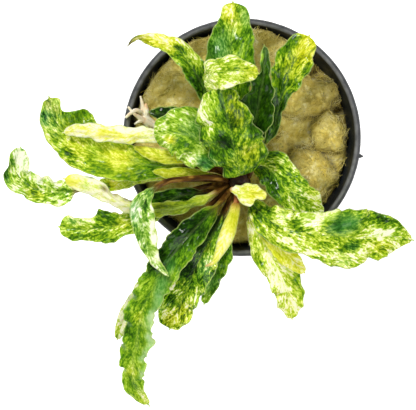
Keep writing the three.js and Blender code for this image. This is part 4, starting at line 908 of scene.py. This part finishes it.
leaf_finishes = {
    "leaf_green": leaf_cuticle("waxy_green_leaf", 0.2),
    "leaf_dark": leaf_cuticle("waxy_dark_leaf", 0.24),
    "leaf_pale": leaf_cuticle("waxy_pale_leaf", 0.22),
    "leaf_yellow": leaf_cuticle("young_yellow_leaf", 0.28, YOUNG_PINKS),
}
# Loose stone fibre is spun glassy rock: it shines a little and is paler than the mat.
stone_fibre = mottled(
    "loose_stone_fibre", ((0.3, "#c8b44a"), (0.55, "#e6d678"), (0.75, "#faf2b8")),
    lump=3.0, ragged=2.0, grain=0.4, relief=0.02, roughness=(0.6, 0.8))
# A rhizome is a fleshy stem with a dark corky skin: mostly matt, with redder scars.
rhizome_skin = mottled(
    "corky_rhizome", ((0.3, "#1c0c06"), (0.55, "#3d1c0e"), (0.75, "#6a3a1e")),
    lump=1.4, ragged=3.0, grain=0.5, relief=0.1, roughness=(0.45, 0.7))
# Roots have a waxy, slightly see-through skin: pale cream, pinkish in patches.
root_skin = mottled(
    "waxy_root", ((0.28, "#f2c896"), (0.42, "#fdeac8"), (0.6, "#fff8e4")),
    lump=1.8, ragged=2.0, grain=0.4, relief=0.03, roughness=(0.4, 0.6))
# Matted stone wool is spun rock fibre: matt and stained olive-yellow with algae, with dark brown
# painted shade in its creases. Its fibres are far too fine to show, so the grain is that of small
# tangles.
stone_wool = mottled(
    "damp_stone_wool", ((0.26, "#a48e36"), (0.4, "#ceb850"), (0.52, "#e0d076"), (0.7, "#f4ecb6")),
    lump=2.2, ragged=6.0, grain=0.35, relief=0.12, roughness=(0.8, 0.95), marks=painted_shade_and_crumbs)
# Black polypropylene, moulded with a fine spark finish: a slight sheen, and a painted highlight along
# the lip. The real grain is a tenth as coarse and wouldn't show.
polypropylene = mottled(
    "moulded_polypropylene", ((0.35, "#14181d"), (0.65, "#242a30")),
    lump=6, ragged=2.0, grain=0.5, relief=0.02, roughness=(0.4, 0.55), marks=painted_lip_highlight,
    Specular_IOR_Level=0.15)


def finished(piece, replaced=None):
    """Let a piece ride on the one body and stand for the solid it replaces, which is hidden."""
    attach(piece, "root")
    if replaced:
        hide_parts(replaced)
    return piece


for number, leaf in enumerate(LEAVES, 1):
    points, faces, notes = leaf_surface(leaf, number)
    blade = make_piece(leaf["name"] + "_blade", points, faces, leaf_finishes[leaf["slot"]], notes)
    finished(blade, leaf["name"])


# Stone wool

# Where the plug stands up in torn wisps, or has holes: x and y, reach, and rise.
WOOL_TEARS = (
    (4.5, 23, 4.4, 3.6), (-10.5, 20.5, 2.4, 2.6), (16.6, 15, 2.1, -6), (21.6, 6.5, 1.3, -6))
# The torn lumps: middle, half-length and half-width, turn in degrees, height and seed.
TUFTS = {
    "stone_wool_tuft_back": ((13.5, 9.2), (7.3, 4.8), -3, 2.7, 0.4),
    "stone_wool_tuft_right": ((19, 1), (4.6, 3.8), 98, 2.5, 2.1),
    "stone_wool_tuft_front": ((15.6, -7.6), (6, 4.4), -50, 2.4, 4.4),
}
# The sizes of the wool's small lumps and how far each stands out, down to half a millimetre.
MATTING = ((5, 0.3), (2.1, 0.2), (1, 0.1), (0.5, 0.05))
# How dark the wool's painted shade is, from 0 to 1: round the foot of a tuft, down a hole, by the
# wall and on a tuft's own edge.
FOOT_SHADE, HOLE_SHADE, WALL_SHADE, EDGE_SHADE = 0.75, 0.9, 0.45, 0.55
PLUG_SIDES = 280
TUFT_SIDES = 150
WALL_GAP = 0.25  # between the wool and the pot


def wool_surface(x, y):
    """Height of the plug's top: lumpy as in the part's source, and torn up or hollow in places."""
    lumps = 0.55 * np.sin(0.42 * x + 1.1) * np.cos(0.37 * y - 0.6)
    lumps += 0.35 * np.sin(0.9 * x - 0.7 * y)
    edge = smooth((np.hypot(x, y) - 15) / 9)
    torn = sum(
        rise * np.exp(-((x - a) ** 2 + (y - b) ** 2) / reach**2) for a, b, reach, rise in WOOL_TEARS
    )
    return WOOL_TOP + lumps * (1 - edge) + (0.6 - 0.045 * x + 0.03 * y) * edge + torn


def inside_radius(z):
    return FOOT_RADIUS + (MOUTH_RADIUS - FOOT_RADIUS) * (z - FLOOR) / (POT_HEIGHT - FLOOR)


def matted(points, strength, seed):
    """How far matted wool stands out at each point."""
    return strength * sum(
        rise * swell(points, size, seed + i) for i, (size, rise) in enumerate(MATTING)
    )


def circle(radius, height, sides):
    turn = np.linspace(0, 2 * math.pi, sides, endpoint=False)
    level = np.full(sides, float(height))
    return np.stack([radius * np.cos(turn), radius * np.sin(turn), level], axis=1)


def crease_shade(points):
    """How dark the plug's painted shade is at each point: most so at the foot of a tuft and down a hole.
    """
    painted_shade = np.zeros(len(points))
    for centre, radii, turn, *_ in TUFTS.values():
        away = points[:, :2] - centre
        cos, sin = math.cos(math.radians(turn)), math.sin(math.radians(turn))
        u, w = away @ (cos, sin), away @ (-sin, cos)
        outside = (np.hypot(u / radii[0], w / radii[1]) - 1) * min(radii)
        painted_shade = np.maximum(painted_shade, FOOT_SHADE * np.exp(-(np.maximum(outside, 0) / 0.9) ** 2))
    for x, y, reach, rise in WOOL_TEARS:
        if rise < 0:
            away = np.hypot(points[:, 0] - x, points[:, 1] - y)
            painted_shade = np.maximum(painted_shade, HOLE_SHADE * np.exp(-(away / reach) ** 2))
    return painted_shade


def wool_note(points, painted_shade):
    """What the wool's material reads: its painted shade, which is also dark near the wall."""
    radius = np.hypot(points[:, 0], points[:, 1])
    painted_shade = np.maximum(painted_shade, WALL_SHADE * smooth((radius - 20.3) / 3.2))
    return [("wool_painted_shade", "FLOAT_VECTOR", np.repeat(painted_shade[:, None], 3, axis=1))]


def wool_plug():
    """Points, faces and painted shade of the plug, from the middle of its foot up and in over its top."""
    bottom = FLOOR + CLEARANCE
    shoulder = WOOL_TOP - 3.2
    foot = inside_radius(bottom) - 0.9
    rings = [circle(radius, bottom, PLUG_SIDES) for radius in (4, 9, 14, foot)]
    for z in np.arange(bottom + 0.6, shoulder, 0.9):
        ring = circle(inside_radius(z) - WALL_GAP, z, PLUG_SIDES)
        out = unit(ring * (1, 1, 0))
        stands_out = np.minimum(matted(ring, strength=0.6, seed=5), 0.2)
        rings.append(ring + out * stands_out[:, None])
    rim = inside_radius(WOOL_TOP) - WALL_GAP
    for share in np.concatenate([np.linspace(1, 0.9, 8), np.linspace(0.885, 0.02, 56)]):
        ring = circle(rim * share, 0, PLUG_SIDES)
        ring[:, 2] = wool_surface(ring[:, 0], ring[:, 1]) - 1.6 * smooth((share - 0.97) / 0.03)
        ring[:, 2] += matted(ring, strength=1, seed=5)
        ring[:, :2] *= (inside_radius(ring[:, 2:]) - WALL_GAP) / rim
        rings.append(ring)
    points, faces = skin_rings(rings)
    return points, faces, crease_shade(points)


def wool_tuft(centre, radii, turn, height, seed):
    """Points, faces and painted shade of a torn lump that lies on the plug."""
    a = np.linspace(0, 2 * math.pi, TUFT_SIDES, endpoint=False)
    wobble = (
        1 + 0.08 * np.sin(3 * a + seed) + 0.06 * np.sin(5 * a - 2 * seed)
        + 0.03 * np.sin(11 * a + seed)
    )
    cos, sin = math.cos(math.radians(turn)), math.sin(math.radians(turn))

    def ring(share, on_top):
        u, w = (reach * share * wobble * way for reach, way in zip(radii, (np.cos(a), np.sin(a))))
        x, y = centre[0] + u * cos - w * sin, centre[1] + u * sin + w * cos
        z = wool_surface(x, y) + CLEARANCE + 0.25
        if on_top:
            lumps = 1 + 0.12 * np.sin(0.9 * x + seed) * np.cos(0.8 * y - seed)
            z = z + height * (1 - share**2.4) * lumps
        points = np.stack([x, y, z], axis=1)
        if on_top:
            points[:, 2] += matted(points, strength=0.7, seed=31) * smooth((1 - share) * 6)
        return points

    under = (0.3, 0.6, 0.85, 0.97)
    over = np.concatenate([[1, 0.985, 0.96], np.linspace(0.93, 0.02, 34)])
    rings = [ring(share, False) for share in under] + [ring(share, True) for share in over]
    painted_shade = [EDGE_SHADE * smooth((share - 0.7) / 0.3) for share in (*under, *over)]
    return *skin_rings(rings), np.append(np.repeat(painted_shade, TUFT_SIDES), (0, 0))


def tree_with_inputs(name, **sizes):
    """A geometry tree that takes a mesh and named numbers, and those inputs."""
    tree = bpy.data.node_groups.new(name, "GeometryNodeTree")
    tree.interface.new_socket("Geometry", in_out="INPUT", socket_type="NodeSocketGeometry")
    for label, value in sizes.items():
        kind = "NodeSocketInt" if isinstance(value, int) else "NodeSocketFloat"
        label = label.replace("_", " ")
        socket = tree.interface.new_socket(label, in_out="INPUT", socket_type=kind)
        socket.default_value = value
    tree.interface.new_socket("Geometry", in_out="OUTPUT", socket_type="NodeSocketGeometry")
    return tree, add(tree, "NodeGroupInput").outputs


def evaluated_mesh(holder):
    bpy.context.view_layer.update()
    graph = bpy.context.evaluated_depsgraph_get()
    return bpy.data.meshes.new_from_object(holder.evaluated_get(graph))


def grow(name, base, tree, values):
    """The plain mesh that a geometry tree makes from a base mesh."""
    holder = new_object(name + "_base", base)
    modifier = holder.modifiers.new("grow", "NODES")
    modifier.node_group = tree
    for socket in tree.interface.items_tree:
        if socket.in_out == "INPUT" and socket.name in values:
            modifier[socket.identifier] = values[socket.name]
    made = evaluated_mesh(holder)
    bpy.data.objects.remove(holder)
    return new_object(name, made)


def fibre_tree():
    """Loose fibres that lie on the upper side of a mesh: low arcs, each turned its own way."""
    tree, given = tree_with_inputs(
        "loose_fibres", Density=1.0, Fibre_length=1.0, Fibre_width=1.0, Seed=1)
    # Fibres lie where the surface leans by less than about 70 degrees.
    normal = add(tree, "GeometryNodeInputNormal")
    facing = add(tree, "ShaderNodeSeparateXYZ", {0: normal}).outputs["Z"]
    upward = add(tree, "FunctionNodeCompare", {0: facing, 1: 0.35}, data_type="FLOAT",
                 operation="GREATER_THAN")
    spots = add(tree, "GeometryNodeDistributePointsOnFaces", {
        "Mesh": given["Geometry"], "Selection": upward, "Density": given["Density"],
        "Seed": given["Seed"]}, distribute_method="RANDOM")
    reach = add(tree, "ShaderNodeMath", {0: given["Fibre length"], 1: 0.5}, operation="MULTIPLY")
    near, far, sag, rise = (
        add(tree, "ShaderNodeMath", {0: reach, 1: share}, operation="MULTIPLY")
        for share in (-1.0, 1.0, 0.5, 0.35)
    )
    arc = add(tree, "GeometryNodeCurveQuadraticBezier", {
        "Resolution": 5, "Start": add(tree, "ShaderNodeCombineXYZ", {0: near}),
        "Middle": add(tree, "ShaderNodeCombineXYZ", {1: sag, 2: rise}),
        "End": add(tree, "ShaderNodeCombineXYZ", {0: far})})
    thin = add(tree, "ShaderNodeMath", {0: given["Fibre width"], 1: 0.5}, operation="MULTIPLY")
    section = add(tree, "GeometryNodeCurvePrimitiveCircle", {"Resolution": 3, "Radius": thin})
    fibre = add(tree, "GeometryNodeCurveToMesh", {
        "Curve": arc, "Profile Curve": section, "Fill Caps": True})
    spin = add(tree, "FunctionNodeRandomValue", {
        "Min": (-0.25, -0.25, 0.0), "Max": (0.25, 0.25, 2 * math.pi), "Seed": given["Seed"]},
        data_type="FLOAT_VECTOR")
    turned = add(tree, "FunctionNodeRotateRotation", {0: spots.outputs["Rotation"], 1: spin},
                 rotation_space="LOCAL")
    # A fibre is 0.5 to 1.3 times the given length. Inputs 2 and 3 are the node's plain numbers.
    size = add(tree, "FunctionNodeRandomValue", {2: 0.5, 3: 1.3, "Seed": given["Seed"]},
               data_type="FLOAT")
    laid = add(tree, "GeometryNodeInstanceOnPoints", {
        "Points": spots, "Instance": fibre, "Rotation": turned, "Scale": size})
    real = add(tree, "GeometryNodeRealizeInstances", {0: laid})
    coated = add(tree, "GeometryNodeSetMaterial", {"Geometry": real, "Material": stone_fibre})
    add(tree, "NodeGroupOutput", {0: coated})
    return tree


wool_shapes = {"stone_wool_plug": wool_plug()}
wool_shapes.update((name, wool_tuft(*shape)) for name, shape in TUFTS.items())
masses = {}
for name, (points, faces, painted_shade) in wool_shapes.items():
    mass = make_piece(name + "_matted", points, faces, stone_wool, wool_note(points, painted_shade))
    masses[name] = finished(mass, name)
# Real fibres are a hundredth of a millimetre thick. They are drawn coarser, or none would show.
fibres = fibre_tree()
for number, (name, mass) in enumerate(masses.items(), 11):
    loose = grow(name + "_fibres", mass.data.copy(), fibres, {
        "Density": 2.3 / MM**2, "Fibre length": 2.5 * MM, "Fibre width": 0.09 * MM, "Seed": number})
    finished(loose)


# Rhizome and roots

def tube(path, radii, sides, roughness, seed):
    """A round stem along a dense path, its radius read from a list of even steps."""
    ring_spacing = 0.35
    bump_size = 1.6
    off_axis = (0.13, 0.21, 0.97)  # no stem runs this way
    run = np.linalg.norm(np.diff(path, axis=0), axis=1).sum()
    shares = np.linspace(0, 1, max(6, round(run / ring_spacing)))
    middle, heading, _ = walk(path, shares)
    side = unit(np.cross(heading, off_axis))
    other = np.cross(heading, side)
    turn = np.linspace(0, 2 * math.pi, sides, endpoint=False)
    out = side[:, None] * np.cos(turn)[:, None] + other[:, None] * np.sin(turn)[:, None]
    rings = middle[:, None] + out * even_steps(radii, shares)[:, None, None]
    bumps = roughness * swell(rings, bump_size, seed)
    return skin_rings(list(rings + out * bumps[..., None]))


def joined(parts):
    """Several closed shells as one list of points and faces."""
    points, faces = [], []
    for part_points, part_faces in parts:
        base = sum(len(p) for p in points)
        points.append(part_points)
        faces += [tuple(i + base for i in face) for face in part_faces]
    return np.concatenate(points), faces


stem_path = spline([RHIZOME_FOOT, (RHIZOME_FOOT + RHIZOME_TOP) / 2, RHIZOME_TOP + (0, 0, 0.4)])
stem_shape = tube(stem_path, RHIZOME_RADII, sides=40, roughness=0.12, seed=3)
finished(make_piece("rhizome_stem", *stem_shape, rhizome_skin), "rhizome")

# Each strand: the points it runs through and its radius from end to end.
ROOT_STRANDS = (
    ([(-17, 1.2, 46.4), (-19.6, 3.2, 46.8), (-21.4, 5, 48), (-21.7, 7, 48.6), (-22.2, 9, 48.8)],
     (0.45, 0.65, 0.8, 0.5, 0.25)),
    ([(-18.6, 2.2, 46.6), (-22, 4, 48.9), (-23.6, 5.2, 50.6), (-24.8, 6.6, 51)],
     (0.5, 0.75, 0.45, 0.2)),
    ([(-21.4, 5, 48), (-23, 5.8, 50.2), (-24.2, 5.2, 51), (-25.4, 4.2, 51)],
     (0.5, 0.55, 0.4, 0.2)),
    ([(-20.6, 2.6, 47.4), (-21.6, 3.6, 48.8), (-22.6, 3.4, 49.6), (-23.4, 2.8, 49.9)],
     (0.5, 0.6, 0.4, 0.2)),
    ([(-20.8, 4.6, 47.6), (-20.9, 6, 48.6), (-21, 7.4, 48.6)],
     (0.6, 0.55, 0.25)),
)
strands = [
    tube(spline(knots), radii, sides=16, roughness=0.06, seed=seed)
    for seed, (knots, radii) in enumerate(ROOT_STRANDS, 7)
]
finished(make_piece("root_strands", *joined(strands), root_skin), "roots")


# Net pot

WEDGES = 8  # each wedge holds two columns of wall slots and one floor slot
WEDGE_ANGLE = 2 * math.pi / WEDGES
# The lip's round top, from its outer side to its inner: how far in from the rim, and how far down.
LIP_ROUND = ((0, 1), (0.12, 0.5), (0.4, 0.15), (0.75, 0), (1.05, 0.07), (1.28, 0.3), (1.4, 0.7),
             (1.5, 1.4))


def slot_half_angle(radius):
    return math.asin(SLOT_WIDTH / 2 / radius)


def wedge_columns(radius, on_floor):
    """Angles of a wedge's columns at a radius, with slot edges that keep the slot's width."""
    middle = WEDGE_ANGLE / 2
    if on_floor:
        near = middle - slot_half_angle(max(radius, FLOOR_SLOT_REACH[0]))
        keys = [0, 0.3 * near, 0.75 * near, near]
    else:
        half = slot_half_angle(radius)
        keys = [0, middle / 2 - half, middle / 2 + half, 0.9 * middle]
    keys += [WEDGE_ANGLE - k for k in reversed(keys)]
    steps = (2, 4, 1, 2, 1, 4, 2)  # from each key to the next
    angles = [np.linspace(a, b, n, endpoint=False) for a, b, n in zip(keys, keys[1:], steps)]
    return np.concatenate(angles + [[WEDGE_ANGLE]])


def wedge_rows():
    """The pot's section: (radius, height, on the floor) out over the underside, up and back in."""
    lip_under = POT_HEIGHT - RIM_DEPTH
    heights = [z for tier in SLOT_TIERS for z in tier]
    near, far = FLOOR_SLOT_REACH
    hub = 2
    underside = [(radius, 0) for radius in (hub, near, far)]
    wall_outside = [(FOOT_RADIUS + 0.5, 0), (FOOT_RADIUS + 0.95, 0.25), (FOOT_RADIUS + WALL, 0.9)]
    wall_outside += [(inside_radius(z) + WALL, z) for z in (*heights, lip_under)]
    lip = [(RIM_RADIUS - 0.4, lip_under + 0.15), (RIM_RADIUS - 0.1, lip_under + 0.45),
           (RIM_RADIUS, lip_under + 1)]
    lip += [(RIM_RADIUS - inward, POT_HEIGHT - down) for inward, down in LIP_ROUND]
    wall_inside = [(inside_radius(z), z) for z in reversed(heights)]
    wall_inside += [(FOOT_RADIUS + 0.1, FLOOR + 0.8), (FOOT_RADIUS - 0.3, FLOOR + 0.12),
                    (FOOT_RADIUS - 0.8, FLOOR)]
    floor_top = [(radius, FLOOR) for radius in (far, near, hub)]
    return [
        (radius, z, on_floor)
        for rows, on_floor in ((underside, True), (wall_outside + lip + wall_inside, False),
                               (floor_top, True))
        for radius, z in rows
    ]


def pot_wedge():
    """Points and faces of one wedge of the pot, open only on its two cut sides."""
    rows = wedge_rows()
    grid = []
    for radius, z, on_floor in rows:
        angles = wedge_columns(radius, on_floor)
        level = np.full(len(angles), float(z))
        grid.append(np.stack([radius * np.cos(angles), radius * np.sin(angles), level], axis=1))
    columns = len(grid[0])
    last = len(rows) - 1

    def spot(row, column):
        return row * columns + column

    # Each hole: the rows that bound it on the outer face and on the inner one, and its columns.
    # The slots' edges are rows 6 to 9 up the outside and 22 to 25 down the inside.
    tiers = (((6, 7), (24, 25)), ((8, 9), (22, 23)))
    holes = [(outer, inner, span) for outer, inner in tiers for span in ((2, 6), (10, 14))]
    holes.append(((1, 2), (last - 2, last - 1), (7, 9)))
    skipped, faces = set(), []
    for outer, inner, (first, end) in holes:
        for column in range(first, end):
            skipped |= {(outer[0], column), (inner[0], column)}
            for a, b in ((outer[0], inner[1]), (inner[0], outer[1])):
                faces.append((
                    spot(a, column), spot(a, column + 1), spot(b, column + 1), spot(b, column)))
        for column, turned in ((first, False), (end, True)):
            side = [spot(row, column) for row in (outer[0], inner[1], inner[0], outer[1])]
            faces.append(side[::-1] if turned else side)
    for row in range(last):
        for column in range(columns - 1):
            if (row, column) not in skipped:
                here, above = spot(row, column), spot(row + 1, column)
                faces.append((here, here + 1, above + 1, above))
    centre = len(rows) * columns
    points = np.concatenate([*grid, [(0, 0, 0), (0, 0, FLOOR)]])
    for column in range(columns - 1):
        faces.append((centre, column + 1, column))
        faces.append((centre + 1, spot(last, column), spot(last, column + 1)))
    return points, faces


def ring_tree():
    """Copies of a wedge in a full ring, welded into one shell."""
    tree, given = tree_with_inputs("ring_of_wedges", Wedges=1, Weld_distance=1.0)
    spots = add(tree, "GeometryNodePoints", {"Count": given["Wedges"]})
    step = add(tree, "ShaderNodeMath", {0: 2 * math.pi, 1: given["Wedges"]}, operation="DIVIDE")
    number = add(tree, "GeometryNodeInputIndex")
    turn = add(tree, "ShaderNodeMath", {0: step, 1: number}, operation="MULTIPLY")
    ring = add(tree, "GeometryNodeInstanceOnPoints", {
        "Points": spots, "Instance": given["Geometry"],
        "Rotation": add(tree, "ShaderNodeCombineXYZ", {2: turn})})
    real = add(tree, "GeometryNodeRealizeInstances", {0: ring})
    welded = add(tree, "GeometryNodeMergeByDistance", {
        "Geometry": real, "Distance": given["Weld distance"]})
    coated = add(tree, "GeometryNodeSetMaterial", {
        "Geometry": welded, "Material": polypropylene})
    add(tree, "NodeGroupOutput", {0: coated})
    return tree


def mould_nib():
    """The stub that the mould's gate leaves on the lip."""
    azimuth = math.radians(-9)
    out = np.array((math.cos(azimuth), math.sin(azimuth), 0))
    height = POT_HEIGHT - 0.8
    path = np.array([
        out * (RIM_RADIUS + reach) + (0, 0, height) for reach in (-0.7, -0.1, 0.4, 0.8)])
    return tube(path, (0.55, 0.48, 0.42, 0.2), sides=10, roughness=0.06, seed=17)


def round_edges(piece, radius, segments, sharpest):
    """Round every edge that turns by more than an angle in degrees."""
    rounding = piece.modifiers.new("rounded_edges", "BEVEL")
    rounding.width = radius * MM
    rounding.segments = segments
    rounding.limit_method = "ANGLE"
    rounding.angle_limit = math.radians(sharpest)
    rounded = evaluated_mesh(piece)
    piece.modifiers.remove(rounding)
    piece.data = rounded


wedge = mesh_in_metres("pot_wedge", *pot_wedge())
pot = grow("net_pot_moulding", wedge, ring_tree(), {"Wedges": WEDGES, "Weld distance": 0.01 * MM})
round_edges(pot, radius=0.18, segments=2, sharpest=50)
pot.data.shade_smooth()
pot.data.set_sharp_from_angle(angle=math.radians(40))
finished(pot, "net_pot")
finished(make_piece("net_pot_nib", *mould_nib(), polypropylene))


# Floor, lights and camera

def paper_sweep():
    """Matt white paper, which glows a little so that it stays white under the soft light."""
    reach, depth = 900, -0.05
    corners = [(x * reach, y * reach, depth) for x, y in ((-1, -1), (1, -1), (1, 1), (-1, 1))]
    mesh = mesh_in_metres("floor", corners, [(0, 1, 2, 3)])
    material, tree = new_material("white_paper_sweep")
    shader = add(tree, "ShaderNodeBsdfPrincipled", {
        "Base Color": linear("#fbfbfb"), "Roughness": 0.9, "Emission Color": linear("#ffffff"),
        "Emission Strength": 0.8})
    add(tree, "ShaderNodeOutputMaterial", {0: shader})
    mesh.materials.append(material)
    new_object("floor", mesh)


def soft_light(name, place, size, power):
    """A square area light, in millimetres, aimed at the plant."""
    lamp = bpy.data.lights.new(name, "AREA")
    lamp.size = size * MM
    lamp.energy = power
    holder = new_object(name, lamp)
    holder.location = Vector(place) * MM
    aim = Vector(PLANT_MIDDLE) - Vector(place)
    holder.rotation_euler = aim.to_track_quat("-Z", "Y").to_euler()


paper_sweep()
soft_light("key_softbox", (-210, 300, 660), size=150, power=3.6)
soft_light("fill_softbox", (220, -300, 620), size=420, power=2.4)
world = bpy.data.worlds.new("studio")
world.use_nodes = True
background = world.node_tree.nodes["Background"].inputs
background["Color"].default_value = linear("#ffffff")
background["Strength"].default_value = 0.25
bpy.context.scene.world = world
bpy.context.scene.view_settings.view_transform = "Standard"

camera_data = bpy.data.cameras.new("camera")
camera_data.sensor_width = SENSOR_WIDTH
camera_data.lens = SENSOR_WIDTH * (CAMERA_PLACE[2] - POT_HEIGHT) / FRAME_WIDTH
camera_data.clip_start = 0.02
camera = new_object("camera", camera_data)
camera.location = Vector(CAMERA_PLACE) * MM
bpy.context.scene.camera = camera
